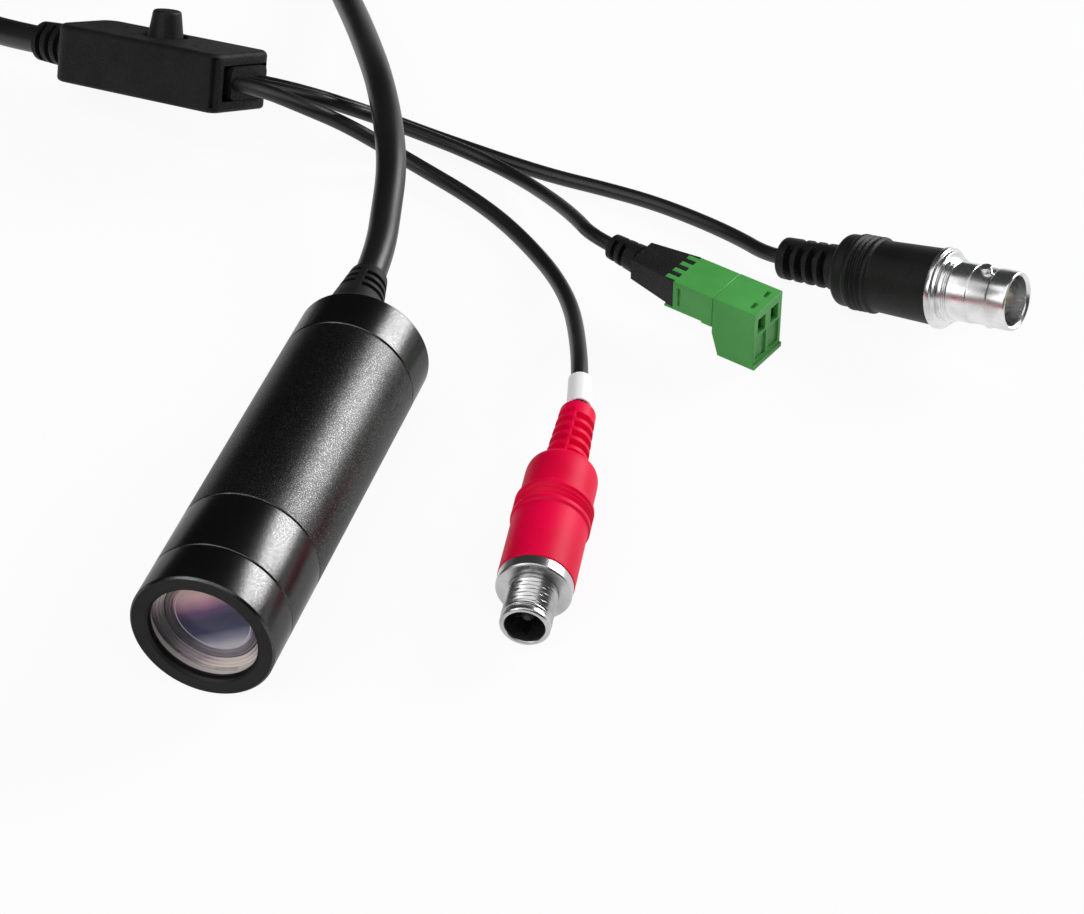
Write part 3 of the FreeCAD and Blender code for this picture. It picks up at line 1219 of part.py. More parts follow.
def write_end_pieces():
    """The three end pieces on the leads."""
    for name, shape in {
        "video_moulding": video_moulding(),
        "video_shell": video_shell(),
        "video_insulator": video_insulator(),
        "video_contact": video_contact(),
    }.items():
        put(name, shape, VIDEO_LAID)
    for name, shape in {
        "power_moulding": power_moulding(),
        "power_shell": power_shell(),
        "power_insulator": power_insulator(),
        "power_pin": power_pin(),
    }.items():
        put(name, shape, POWER_LAID)
    put("marker_sleeve", marker_sleeve(), POWER_ENTRY_LAID)
    for name, shape in {
        "terminal_hood": terminal_hood(),
        "terminal_header": terminal_header(),
        "header_pins": header_pins(),
        "terminal_plug": terminal_plug(),
        "plug_contacts": plug_contacts(),
        "wire_cage_left": wire_cage(-1),
        "wire_cage_right": wire_cage(1),
        "clamp_screw_left": clamp_screw(-1),
        "clamp_screw_right": clamp_screw(1),
    }.items():
        put(name, shape, BLOCK_LAID)


os.makedirs("parts", exist_ok=True)
write_head()
write_cords()
write_box()
write_end_pieces()
print("travel focus %.2f press %.2f wire cage %.2f" % (FOCUS_TRAVEL, PRESS_TRAVEL, CAGE_TRAVEL))
print("thread pitch front cap %.2f clamp screw %.2f" % (CAP_PITCH, CLAMP_PITCH))
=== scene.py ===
"""Looks of a miniature tube camera on its tether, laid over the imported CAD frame.

The barrel, mouldings, jacks and small parts are parametric surfaces worked out with numpy, the
cable and leads are splines on the routes of the solids, and every finish is a node material.
Sizes are in millimetres until a mesh is written, and the frame is that of the solids: the optical
axis along Y, the lens towards -Y, +Z up.
"""

from __future__ import annotations

import json
import logging
import math
from dataclasses import dataclass, field
from enum import Enum
from typing import Any

import bmesh
import bpy
import numpy as np
from mathutils import Matrix

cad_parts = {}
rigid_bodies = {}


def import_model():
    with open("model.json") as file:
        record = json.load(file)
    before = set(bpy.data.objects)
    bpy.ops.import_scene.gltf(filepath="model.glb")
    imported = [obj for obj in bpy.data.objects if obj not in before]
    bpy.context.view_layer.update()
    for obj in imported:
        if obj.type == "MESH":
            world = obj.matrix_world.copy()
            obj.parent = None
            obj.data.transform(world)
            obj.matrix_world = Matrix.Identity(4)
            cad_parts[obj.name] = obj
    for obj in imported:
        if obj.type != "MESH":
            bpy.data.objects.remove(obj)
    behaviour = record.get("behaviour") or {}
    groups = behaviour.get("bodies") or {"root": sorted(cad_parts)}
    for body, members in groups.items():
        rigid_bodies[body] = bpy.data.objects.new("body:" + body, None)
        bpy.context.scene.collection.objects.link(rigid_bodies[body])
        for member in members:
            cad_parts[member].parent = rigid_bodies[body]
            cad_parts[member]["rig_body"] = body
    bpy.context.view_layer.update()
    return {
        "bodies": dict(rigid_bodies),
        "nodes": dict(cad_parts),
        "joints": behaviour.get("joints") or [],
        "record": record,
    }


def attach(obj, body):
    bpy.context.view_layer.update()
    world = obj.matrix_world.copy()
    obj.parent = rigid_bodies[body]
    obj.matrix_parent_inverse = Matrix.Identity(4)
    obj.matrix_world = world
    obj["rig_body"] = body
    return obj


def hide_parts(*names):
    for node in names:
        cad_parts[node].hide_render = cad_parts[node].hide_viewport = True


Array = np.ndarray
Socket = bpy.types.NodeSocket
Colour = tuple[float, float, float]
Point = tuple[float, float, float]
Outline = tuple[tuple[float, float], ...]

LOG = logging.getLogger("tube_camera")
MM = 0.001
ROOT_BODY = "camera"
AXIS_Z = 11.0  # height of the optical axis above the floor


class Value:
    """A socket that takes part in Python arithmetic: each operator adds one Math node."""

    def __init__(self, graph: "Graph", socket: Socket) -> None:
        """Keeps the graph and the output socket that carries the value."""
        self.graph = graph
        self.socket = socket

    def maths(self, operation: str, first: Any, second: Any = 0.0) -> "Value":
        """Adds a Math node.

        Args:
            operation: Blender's name of the operation.
            first: a Value or a number.
            second: a Value or a number.

        Returns:
            The node's result.
        """
        node = self.graph.node("ShaderNodeMath", {"operation": operation}, {0: first, 1: second})
        return Value(self.graph, node.outputs[0])

    def __add__(self, other: Any) -> "Value":
        """Sum."""
        return self.maths("ADD", self, other)

    __radd__ = __add__

    def __sub__(self, other: Any) -> "Value":
        """Difference."""
        return self.maths("SUBTRACT", self, other)

    def __rsub__(self, other: Any) -> "Value":
        """Difference from a number."""
        return self.maths("SUBTRACT", other, self)

    def __mul__(self, other: Any) -> "Value":
        """Product."""
        return self.maths("MULTIPLY", self, other)

    __rmul__ = __mul__

    def __truediv__(self, other: Any) -> "Value":
        """Quotient."""
        return self.maths("DIVIDE", self, other)

    def __rtruediv__(self, other: Any) -> "Value":
        """Quotient of a number."""
        return self.maths("DIVIDE", other, self)

    def __pow__(self, other: Any) -> "Value":
        """Power."""
        return self.maths("POWER", self, other)

    def __rpow__(self, other: Any) -> "Value":
        """Power of a number."""
        return self.maths("POWER", other, self)

    def above(self, low: float, high: float) -> "Value":
        """Smooth step.

        Args:
            low: the value that gives 0.
            high: the value that gives 1.

        Returns:
            The step.
        """
        node = self.graph.node("ShaderNodeMapRange", {"interpolation_type": "SMOOTHSTEP"},
                               {"Value": self, "From Min": low, "From Max": high})
        return Value(self.graph, node.outputs[0])

    def sine(self) -> "Value":
        """Sine of an angle in radians."""
        return self.maths("SINE", self)

    def most(self, other: Any) -> "Value":
        """The larger of two."""
        return self.maths("MAXIMUM", self, other)


class Graph:
    """A material's node tree, with one method that makes every node."""

    def __init__(self, tree: bpy.types.NodeTree) -> None:
        """Empties the tree."""
        self.tree = tree
        self.tree.nodes.clear()

    @classmethod
    def material(cls, name: str) -> tuple[bpy.types.Material, "Graph"]:
        """Makes a material.

        Args:
            name: the material's name.

        Returns:
            The material and its empty graph.
        """
        made = bpy.data.materials.new(name)
        made.use_nodes = True
        return made, cls(made.node_tree)

    def node(self, kind: str, settings: dict[str, Any] | None = None,
             sockets: dict[str | int, Any] | None = None) -> bpy.types.Node:
        """Adds a node.

        Args:
            kind: Blender's name of the node type.
            settings: attributes set first; "stops" is a ramp's list of (place, colour).
            sockets: input name or index to a Value, an output socket or a plain value.

        Returns:
            The node.
        """
        made = self.tree.nodes.new(kind)
        for key, value in (settings or {}).items():
            if key == "stops":
                ramp = made.color_ramp
                while len(ramp.elements) < len(value):
                    ramp.elements.new(1.0)
                for element, (place, colour) in zip(ramp.elements, value):
                    element.position = place
                    element.color = colour
            else:
                setattr(made, key, value)
        for key, value in (sockets or {}).items():
            source = value.socket if isinstance(value, Value) else value
            if isinstance(source, Socket):
                self.tree.links.new(source, made.inputs[key])
            else:
                made.inputs[key].default_value = source
        return made

    def value(self, node: bpy.types.Node, output: str | int = 0) -> Value:
        """Wraps one of a node's outputs."""
        return Value(self, node.outputs[output])

    def place(self) -> Socket:
        """Object coordinates."""
        return self.node("ShaderNodeTexCoord").outputs["Object"]

    def axes(self) -> list[Value]:
        """Object coordinates one by one."""
        parts = self.node("ShaderNodeSeparateXYZ", None, {0: self.place()})
        return [self.value(parts, axis) for axis in range(3)]

    def off_axis(self) -> tuple[Value, Value, Value]:
        """Object coordinates seen along the optical axis.

        Returns:
            Place across the axis, place above it and distance from it.
        """
        across, _, height = self.axes()
        up = height - AXIS_Z * MM
        return across, up, (across * across + up * up) ** 0.5

    def noise(self, per_metre: float, detail: float) -> Value:
        """Noise of so many cells to the metre, from 0 to 1."""
        sockets = {"Vector": self.place(), "Scale": per_metre, "Detail": detail}
        return self.value(self.node("ShaderNodeTexNoise", None, sockets))

    def mix(self, factor: Value, low: Any, high: Any) -> Socket:
        """Colour between two, by a factor."""
        node = self.node("ShaderNodeMix", {"data_type": "RGBA"}, {0: factor, 6: low, 7: high})
        return node.outputs[2]

    def bump(self, height: Value, distance: float) -> Socket:
        """Normal that follows a height, in metres of relief."""
        sockets = {"Height": height, "Distance": distance, "Strength": 1.0}
        return self.node("ShaderNodeBump", None, sockets).outputs[0]

    def surface(self, sockets: dict[str, Any]) -> None:
        """Ends the tree in a Principled shader with these sockets."""
        shader = self.node("ShaderNodeBsdfPrincipled", None, sockets)
        self.node("ShaderNodeOutputMaterial", None, {"Surface": shader.outputs[0]})


Layers = tuple[Socket, Value, Value]


def grey(level: float) -> Colour:
    """A colour with no hue."""
    return (level, level, level)


def rgba(colour: Colour) -> tuple[float, float, float, float]:
    """Adds a full alpha to a colour."""
    return (*colour, 1.0)


@dataclass(frozen=True)
class Finish:
    """A moulded or machined finish: a tone that drifts, a grain in the gloss and a fine relief."""

    name: str
    dark: Colour
    light: Colour
    rough: tuple[float, float]
    drift: float = 90.0
    grain: float = 4200.0
    relief: float = 2e-5
    metallic: float = 0.0
    specular: float = 0.5
    sheen: float = 0.0
    edge: float = 1.0
    tone_span: tuple[float, float] = (0.3, 0.7)

    def tone(self, graph: Graph) -> Socket:
        """Colour between dark and light that follows a slow noise."""
        slow = graph.noise(self.drift, 3.0).above(*self.tone_span)
        return graph.mix(slow, rgba(self.dark), rgba(self.light))

    def layers(self, graph: Graph) -> Layers:
        """What changes over the surface.

        Args:
            graph: the material's graph.

        Returns:
            Colour, share of the way from smooth to rough, and height. Here the last two are one
            fine noise.
        """
        fine = graph.noise(self.grain, 2.0)
        return self.tone(graph), fine, fine

    def material(self) -> bpy.types.Material:
        """Joins the layers in one surface with the finish's constants.

        Returns:
            The material.
        """
        made, graph = Graph.material(self.name)
        colour, gloss, height = self.layers(graph)
        low, high = self.rough
        graph.surface({
            "Base Color": colour, "Roughness": gloss * (high - low) + low,
            "Normal": graph.bump(height, self.relief), "Metallic": self.metallic,
            "Specular IOR Level": self.specular, "Sheen Weight": self.sheen,
            "Specular Tint": rgba(grey(self.edge))})
        return made


@dataclass(frozen=True)
class BlastedFinish(Finish):
    """Bead-blasted anodise: a pitted skin whose facets glint here and there."""

    glint: float = 0.17
    glint_share: tuple[float, float] = (0.48, 0.78)
    glint_scale: float = 0.83

    def layers(self, graph: Graph) -> Layers:
        """Pits are fine noise; a second noise above a threshold lightens a few of them.

        Args:
            graph: the material's graph.

        Returns:
            Speckled colour, pits as roughness, pits as height.
        """
        pits = graph.noise(self.grain, 1.0)
        glints = graph.noise(self.grain * self.glint_scale, 0.0).above(*self.glint_share)
        return graph.mix(glints, self.tone(graph), rgba(grey(self.glint))), pits, pits


@dataclass(frozen=True)
class PlatedFinish(Finish):
    """Bright plate over turned metal, with a fine grain and a few dull clouds."""

    cloud_span: tuple[float, float] = (0.35, 0.75)

    def layers(self, graph: Graph) -> Layers:
        """Tone and roughness follow slow clouds; the relief is a very fine noise.

        Args:
            graph: the material's graph.

        Returns:
            Clouded colour, clouds as roughness, noise as height.
        """
        clouds = graph.noise(self.drift, 4.0).above(*self.cloud_span)
        fine = graph.noise(self.grain, 1.0)
        return graph.mix(clouds, rgba(self.light), rgba(self.dark)), clouds, fine


@dataclass(frozen=True)
class WovenFinish(Finish):
    """Woven strap: crossing ribs."""

    def layers(self, graph: Graph) -> Layers:
        """The ribs are the larger of a squared sine and a product of two, along and across.

        Args:
            graph: the material's graph.

        Returns:
            Ribbed colour, roughness that is least on the ribs, ribs as height.
        """
        waves = [(axis * self.grain).sine() for axis in graph.axes()]
        ribs = (waves[0] * waves[0]).most(waves[1] * waves[2])
        return graph.mix(ribs, rgba(self.dark), rgba(self.light)), 1.0 - ribs, ribs


@dataclass(frozen=True)
class BoardFinish(Finish):
    """Circuit board: solder resist over a net of tracks, with bright pads."""

    pad: Colour = (0.75, 0.66, 0.4)
    track_span: tuple[float, float] = (0.3, 0.5)
    pad_span: tuple[float, float] = (0.08, 0.14)

    def layers(self, graph: Graph) -> Layers:
        """Tracks are thin lines between Voronoi cells, and pads the middles of the cells.

        Args:
            graph: the material's graph.

        Returns:
            Colour of resist, tracks and pads, tracks as roughness, tracks as height.
        """
        cells = graph.node("ShaderNodeTexVoronoi", {"feature": "F1", "distance": "CHEBYCHEV"},
                           {"Vector": graph.place(), "Scale": self.grain})
        nearness = graph.value(cells, "Distance")
        tracks = nearness.above(*self.track_span)
        pads = 1.0 - nearness.above(*self.pad_span)
        tone = graph.mix(tracks, rgba(self.dark), rgba(self.light))
        return graph.mix(pads, tone, rgba(self.pad)), tracks, tracks


@dataclass(frozen=True)
class ReflectionPaintedGlass:
    """Glass and the turned rings round it, with painted reflection: bands of colour across the
    optical axis stand in for the light and shade of the room seen in them.
    """

    name: str
    radius: float
    # painted reflection: colours along the leaning line stand in for the room's light and shade
    # seen in the glass
    bands: tuple[tuple[float, Colour], ...]
    lean: tuple[float, float] = (-0.45, 0.89)
    rim: tuple[float, float] = (2.0, 2.1)
    # painted highlight: the tone of the thin bright circle at the rim
    rim_highlight_tone: Colour = (0.5, 0.48, 0.5)
    rim_soft: float = 0.008
    lines: float = 0.0
    line_pitch: float = 0.42 * MM
    haze: float = 0.06
    haze_scale: float = 260.0
    rough: float = 0.08
    specular: float = 0.14

    def material(self) -> bpy.types.Material:
        """The colour is painted reflection: it follows the place along a leaning line through the
        axis.

        Noise and a sine of the distance from the axis move that place a little. The rim is a thin
        circle of painted highlight between two shares of the radius; shares past 1 leave it out.

        Returns:
            The material.
        """
        made, graph = Graph.material(self.name)
        across, up, away = graph.off_axis()
        along = (across * self.lean[0] + up * self.lean[1]) / (2 * self.radius) + 0.5
        haze = (graph.noise(self.haze_scale, 2.0) - 0.5) * self.haze
        turned = (away * (2 * math.pi / self.line_pitch)).sine() * self.lines
        ramp = graph.node("ShaderNodeValToRGB",
                          {"stops": [(place, rgba(colour)) for place, colour in self.bands]},
                          {"Fac": along + haze + turned})
        share = away / self.radius
        inner, outer = self.rim
        soft = self.rim_soft
        # painted highlight: a thin bright circle between two shares of the radius
        rim = share.above(inner, inner + soft) - share.above(outer, outer + soft)
        graph.surface({"Base Color": graph.mix(rim, ramp.outputs[0], rgba(self.rim_highlight_tone)),
                       "Roughness": self.rough, "Metallic": 0.0,
                       "Specular IOR Level": self.specular})
        return made


@dataclass(frozen=True)
class ClearGlass:
    """Flat window: clear, with a ground edge."""

    name: str
    radius: float
    alpha: float
    edge: float
    dust: float = 0.03
    dust_scale: float = 420.0
    dust_span: tuple[float, float] = (0.55, 0.85)
    ground_span: tuple[float, float] = (0.986, 0.994)
    tint: Colour = (0.88, 0.82, 0.80)
    rough: float = 0.03
    specular: float = 0.2

    def material(self) -> bpy.types.Material:
        """A cast of dust lowers the clearness in places, and the edge by the radius is frosted.

        Returns:
            The material.
        """
        made, graph = Graph.material(self.name)
        dust = graph.noise(self.dust_scale, 4.0).above(*self.dust_span)
        _, _, away = graph.off_axis()
        ground = (away / self.radius).above(*self.ground_span)
        graph.surface({"Base Color": rgba(self.tint), "Roughness": self.rough, "Metallic": 0.0,
                       "Specular IOR Level": self.specular,
                       "Alpha": dust * self.dust + ground * self.edge + self.alpha})
        return made


class Looks(Enum):
    """The finishes of the camera's pieces."""

    BLASTED = BlastedFinish("blasted_anodise", grey(0.038), grey(0.05), (0.30, 0.40), grain=7800.0,
                            relief=1.2e-5, metallic=1.0, edge=0.62, glint=0.18)
    SATIN = BlastedFinish("satin_anodise", grey(0.054), grey(0.064), (0.21, 0.29), grain=12500.0,
                          relief=4e-6, metallic=1.0, edge=0.62, glint=0.15)
    FACE = Finish("matt_face", (0.028, 0.028, 0.0285), (0.035, 0.035, 0.0355), (0.45, 0.6),
                  grain=7000.0, relief=1e-5, metallic=1.0, edge=0.5)
    LENS_METAL = Finish("lens_black", (0.004, 0.004, 0.0045), (0.007, 0.007, 0.0075), (0.35, 0.5),
                        grain=6000.0, relief=1e-5, specular=0.3)
    JACKET = Finish("cable_jacket", grey(0.005), grey(0.008), (0.32, 0.44), drift=70.0,
                    grain=5200.0)
    MOULDING = Finish("black_moulding", grey(0.005), grey(0.008), (0.45, 0.6), drift=160.0,
                      grain=2800.0, relief=8e-5, specular=0.27)
    BOX = Finish("box_moulding", grey(0.005), grey(0.010), (0.46, 0.72), drift=160.0, grain=2400.0,
                 relief=1.6e-4, specular=0.22)
    RED = Finish("red_moulding", (0.76, 0.0, 0.042), (0.90, 0.0, 0.058), (0.42, 0.54), drift=120.0,
                 grain=5200.0, specular=0.12)
    GREEN = Finish("green_plastic", (0.068, 0.34, 0.068), (0.084, 0.39, 0.084), (0.36, 0.48),
                   drift=140.0, grain=5200.0, specular=0.3)
    PLATE = PlatedFinish("bright_plate", grey(0.62), grey(0.80), (0.22, 0.34), drift=260.0,
                         grain=3800.0, relief=3e-6, metallic=1.0)
    NICKEL = PlatedFinish("nickel_plate", grey(0.40), grey(0.54), (0.26, 0.36), drift=260.0,
                          grain=3800.0, relief=3e-6, metallic=1.0)
    GOLD = PlatedFinish("gold_plate", (0.66, 0.45, 0.16), (0.86, 0.64, 0.28), (0.16, 0.28),
                        drift=300.0, grain=3800.0, relief=4e-6, metallic=1.0)
    STEEL = PlatedFinish("bright_zinc", (0.45, 0.45, 0.44), grey(0.62), (0.22, 0.36), drift=300.0,
                         grain=3800.0, relief=6e-6, metallic=1.0)
    SEAL = Finish("seal_rubber", grey(0.008), grey(0.014), (0.5, 0.65))
    WHITE = Finish("white_plastic", (0.95, 0.95, 0.945), (0.98, 0.98, 0.975), (0.35, 0.5),
                   relief=1e-5)
    GREY = Finish("grey_plastic", grey(0.15), grey(0.20), (0.35, 0.5), relief=1e-5)
    IVORY = Finish("ivory_plastic", (0.66, 0.63, 0.54), (0.72, 0.69, 0.60), (0.35, 0.5),
                   relief=1e-5)
    CHIP = Finish("chip_package", (0.014, 0.014, 0.015), (0.022, 0.022, 0.023), (0.45, 0.6))
    WIRE = Finish("wire_sleeving", (0.30, 0.03, 0.02), (0.42, 0.05, 0.04), (0.35, 0.5))
    BOARD = BoardFinish("circuit_board", (0.008, 0.10, 0.04), (0.016, 0.17, 0.065), (0.3, 0.42),
                        grain=900.0, relief=3e-5)
    STRAP = WovenFinish("woven_strap", grey(0.008), grey(0.032), (0.6, 0.85), grain=5200.0,
                        relief=1e-4, sheen=0.2)
    # painted reflection: pale at the bottom, dark blue across the middle, pink at the top; the
    # near-white rim circle is a painted highlight
    LENS = ReflectionPaintedGlass("coated_lens", 6.4 * MM, (
        (0.0, (0.92, 0.89, 0.93)), (0.10, (0.74, 0.71, 0.78)), (0.20, (0.30, 0.29, 0.42)),
        (0.32, (0.045, 0.045, 0.12)), (0.50, (0.025, 0.025, 0.085)), (0.62, (0.12, 0.055, 0.17)),
        (0.72, (0.52, 0.25, 0.36)), (0.84, (0.98, 0.62, 0.64)), (1.0, (1.0, 0.78, 0.70))),
        rim=(0.884, 0.904), rim_highlight_tone=(0.95, 0.93, 0.96))
    # painted light and reflection: cream bands at the bottom and top, painted shade across the
    # middle
    LENS_RING = ReflectionPaintedGlass("lens_rings", 8.3 * MM, (
        (0.0, (0.98, 0.88, 0.83)), (0.07, (0.84, 0.72, 0.70)), (0.14, (0.46, 0.38, 0.42)),
        (0.42, (0.09, 0.085, 0.095)), (0.62, (0.10, 0.09, 0.10)), (0.76, (0.42, 0.33, 0.36)),
        (0.88, (0.90, 0.78, 0.73)), (1.0, (0.92, 0.82, 0.76))), lines=0.03, rough=0.22)
    # painted light and reflection: lighter towards the bottom and top, painted shade across the
    # middle
    LENS_BEZEL = ReflectionPaintedGlass("lens_bezel", 7.2 * MM, (
        (0.0, (0.34, 0.29, 0.33)), (0.14, (0.22, 0.19, 0.23)), (0.28, (0.085, 0.075, 0.095)),
        (0.45, (0.035, 0.034, 0.040)), (0.66, (0.06, 0.052, 0.062)), (0.80, (0.24, 0.18, 0.20)),
        (1.0, (0.62, 0.50, 0.46))), lines=0.05, rough=0.2)
    # painted reflection: dark teal in the middle, lighter towards both ends of the leaning line
    REAR_LENS = ReflectionPaintedGlass("coated_rear_lens", 3.9 * MM, (
        (0.0, (0.03, 0.07, 0.06)), (0.5, (0.01, 0.03, 0.03)), (1.0, (0.09, 0.12, 0.10))))
    WINDOW = ClearGlass("window_glass", 9.0 * MM, alpha=0.02, edge=0.8)


class Wardrobe:
    """Makes each finish's material once."""

    def __init__(self) -> None:
        """Starts empty."""
        self.made: dict[Looks, bpy.types.Material] = {}

    def get(self, look: Looks) -> bpy.types.Material:
        """The material of a look.

        Args:
            look: the finish.

        Returns:
            Its material, made at the first call.
        """
        if look not in self.made:
            self.made[look] = look.value.material()
        return self.made[look]


def turn_about(axis: int, degrees: float) -> Array:
    """Rotation about one axis by the right-hand rule.

    Args:
        axis: 0, 1 or 2.
        degrees: the angle.

    Returns:
        (3, 3) matrix that turns columns.
    """
    cosine, sine = math.cos(math.radians(degrees)), math.sin(math.radians(degrees))
    first, second = (axis + 1) % 3, (axis + 2) % 3
    made = np.eye(3)
    made[first, first] = made[second, second] = cosine
    made[second, first], made[first, second] = sine, -sine
    return made


@dataclass(frozen=True)
class Pose:
    """Where a sub-assembly lies: a place in millimetres, and yaw, nose lift and roll in degrees."""

    place: Point
    yaw: float = 0.0
    rise: float = 0.0
    roll: float = 0.0

    def lay(self, points: Array) -> Array:
        """Local millimetre points, rolled about X, lifted about Y and turned about Z, as metres."""
        turn = turn_about(2, self.yaw) @ turn_about(1, -self.rise) @ turn_about(0, self.roll)
        return (points @ turn.T + np.array(self.place)) * MM


def soften(outline: Array, radius: float | Array, steps: int = 5, closed: bool = True) -> Array:
    """Rounds an outline's corners.

    Each corner becomes a quadratic Bezier between points a radius along its two sides, or 0.45 of a
    shorter side.

    Args:
        outline: (n, 2) corners in order.
        radius: reach of the rounding along each side, one for all corners or an (n, 1) column.
        steps: points for each corner.
        closed: whether the last corner joins the first; if not, the two ends stay as they are.

    Returns:
        (m, 2) points.
    """
    back = np.roll(outline, 1, axis=0) - outline
    ahead = np.roll(outline, -1, axis=0) - outline
    back_len = np.maximum(np.linalg.norm(back, axis=1, keepdims=True), 1e-9)
    ahead_len = np.maximum(np.linalg.norm(ahead, axis=1, keepdims=True), 1e-9)
    start = outline + back / back_len * np.minimum(radius, 0.45 * back_len)
    end = outline + ahead / ahead_len * np.minimum(radius, 0.45 * ahead_len)
    t = np.linspace(0, 1, steps)[None, :, None]
    corner = 2 * t * (1 - t) * outline[:, None]
    curve = (1 - t) ** 2 * start[:, None] + corner + t ** 2 * end[:, None]
    if closed:
        return curve.reshape(-1, 2)
    return np.vstack([outline[:1], curve[1:-1].reshape(-1, 2), outline[-1:]])


def divide(outline: Array, step: float) -> Array:
    """Adds points along an open outline, evenly by length between its own points.

    Args:
        outline: (n, 2) points in order.
        step: about the largest distance between two points.

    Returns:
        (m, 2) points.
    """
    lengths = np.linalg.norm(np.diff(outline, axis=0), axis=1)
    along = np.concatenate([[0], np.cumsum(lengths)])
    count = max(2, int(along[-1] / step))
    places = np.unique(np.concatenate([np.linspace(0, along[-1], count), along]))
    return np.stack([np.interp(places, along, outline[:, axis]) for axis in range(2)], axis=1)


def round_angles(segments: int) -> Array:
    """Angles of the columns of a surface of revolution, from 0 to short of a full turn."""
    return np.linspace(0, 2 * np.pi, segments, endpoint=False)


def spun(outline: Array, segments: int, inset: Array | None = None) -> Array:
    """Surface of revolution about local X: (x, r) carried round as (x, r cos a, r sin a).

    Args:
        outline: (n, 2) points of x and radius.
        segments: columns round the axis.
        inset: optional (n, segments) depth taken off the radius.

    Returns:
        (n, segments, 3) grid.
    """
    angle = round_angles(segments)
    radius = outline[:, 1][:, None] * np.ones(segments)[None, :]
    if inset is not None:
        radius = radius - inset
    x = outline[:, 0][:, None] * np.ones(segments)[None, :]
    return np.stack([x, radius * np.cos(angle), radius * np.sin(angle)], axis=2)


def step_up(value: Array, low: float | Array, high: float | Array) -> Array:
    """Smooth step from 0 at low to 1 at high."""
    t = np.clip((value - low) / (high - low), 0, 1)
    return t * t * (3 - 2 * t)


def show(name: str, data: Any) -> bpy.types.Object:
    """Puts an object into the scene.

    Args:
        name: the object's name.
        data: its mesh, curve, lamp or camera.

    Returns:
        The object.
    """
    made = bpy.data.objects.new(name, data)
    bpy.context.scene.collection.objects.link(made)
    return made


def stand(name: str, data: Any, axes: Array, place: Array) -> bpy.types.Object:
    """Puts a camera or a lamp into the scene.

    Args:
        name: the object's name.
        data: its lamp or camera.
        axes: (3, 3), its local axes as rows.
        place: its place in metres.

    Returns:
        The object.
    """
    matrix = np.eye(4)
    matrix[:3, :3] = axes.T
    matrix[:3, 3] = place
    made = show(name, data)
    made.matrix_world = Matrix(matrix.tolist())
    return made


def merged(mesh: bpy.types.Mesh, reach: float, crumbs: float = 0.0, flat: float = 0.0) -> None:
    """Joins a mesh's doubles.

    Args:
        mesh: the mesh, changed in place.
        reach: distance within which points are one.
        crumbs: length under which an edge is dissolved, or 0.
        flat: angle in degrees under which faces become one, or 0.
    """
    work = bmesh.new()
    work.from_mesh(mesh)
    bmesh.ops.remove_doubles(work, verts=work.verts, dist=reach)
    if crumbs:
        bmesh.ops.dissolve_degenerate(work, edges=work.edges, dist=crumbs)
    if flat:
        bmesh.ops.dissolve_limit(work, angle_limit=math.radians(flat), verts=work.verts,
                                 edges=work.edges)
    work.to_mesh(mesh)
    work.free()


def settle(mesh: bpy.types.Mesh, name: str, materials: list[bpy.types.Material], body: str,
           node: str, slot: str, sharp: float) -> bpy.types.Object:
    """Smooths a mesh up to an angle, links it and hands it to the frame.

    Args:
        mesh: the finished mesh.
        name: the object's name.
        materials: the materials in order.
        body: the CAD body it rides on.
        node: the CAD node it stands for.
        slot: the record's material slot; not used.
        sharp: angle in degrees past which an edge stays crisp.

    Returns:
        The object.
    """
    for material in materials:
        mesh.materials.append(material)
    mesh.polygons.foreach_set("use_smooth", np.ones(len(mesh.polygons), dtype=bool))
    mesh.set_sharp_from_angle(angle=math.radians(sharp))
    mesh.update()
    made = show(name, mesh)
    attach(made, body)
    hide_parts(node)
    LOG.info("piece %s: %d faces", name, len(mesh.polygons))
    return made


@dataclass
class Bench:
    """What every sub-assembly needs: the CAD nodes, the record's slots and the materials."""

    frame: dict[str, Any]
    wardrobe: Wardrobe = field(default_factory=Wardrobe)

    def body(self, node: str) -> str:
        """The body that a CAD node belongs to."""
        return self.frame["nodes"][node]["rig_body"]

    def slot(self, node: str) -> str:
        """The material slot that the record gives a node."""
        rows = self.frame["record"]["subparts"]
        return next(row["material_slot"] for row in rows if row["node"] == node)

    def paint(self, look: Looks, *nodes: str) -> None:
        """Gives CAD nodes that stay as they are a material.

        Args:
            look: the finish.
            nodes: the nodes' names.
        """
        for node in nodes:
            mesh = self.frame["nodes"][node].data
            mesh.materials.clear()
            mesh.materials.append(self.wardrobe.get(look))

    def refine(self, node: str, look: Looks, bevel: float, sharp: float = 30.0) -> str:
        """Copy of a CAD node with its triangles merged, shaded smooth and its crisp edges rounded.

        Args:
            node: the CAD node.
            look: its finish.
            bevel: width of the rounding in millimetres, or 0 for none.
            sharp: angle in degrees past which an edge counts as crisp.

        Returns:
            The name of the object that stands for the node.
        """
        mesh = self.frame["nodes"][node].data.copy()
        mesh.materials.clear()
        merged(mesh, reach=2e-6, flat=0.5)
        made = settle(mesh, node + "_look", [self.wardrobe.get(look)], self.body(node), node,
                      self.slot(node), sharp)
        if bevel:
            rounding = made.modifiers.new("edge", "BEVEL")
            rounding.width = bevel * MM
            rounding.segments = 2
            rounding.limit_method = "ANGLE"
            rounding.angle_limit = math.radians(sharp)
            rounding.harden_normals = False
        return made.name


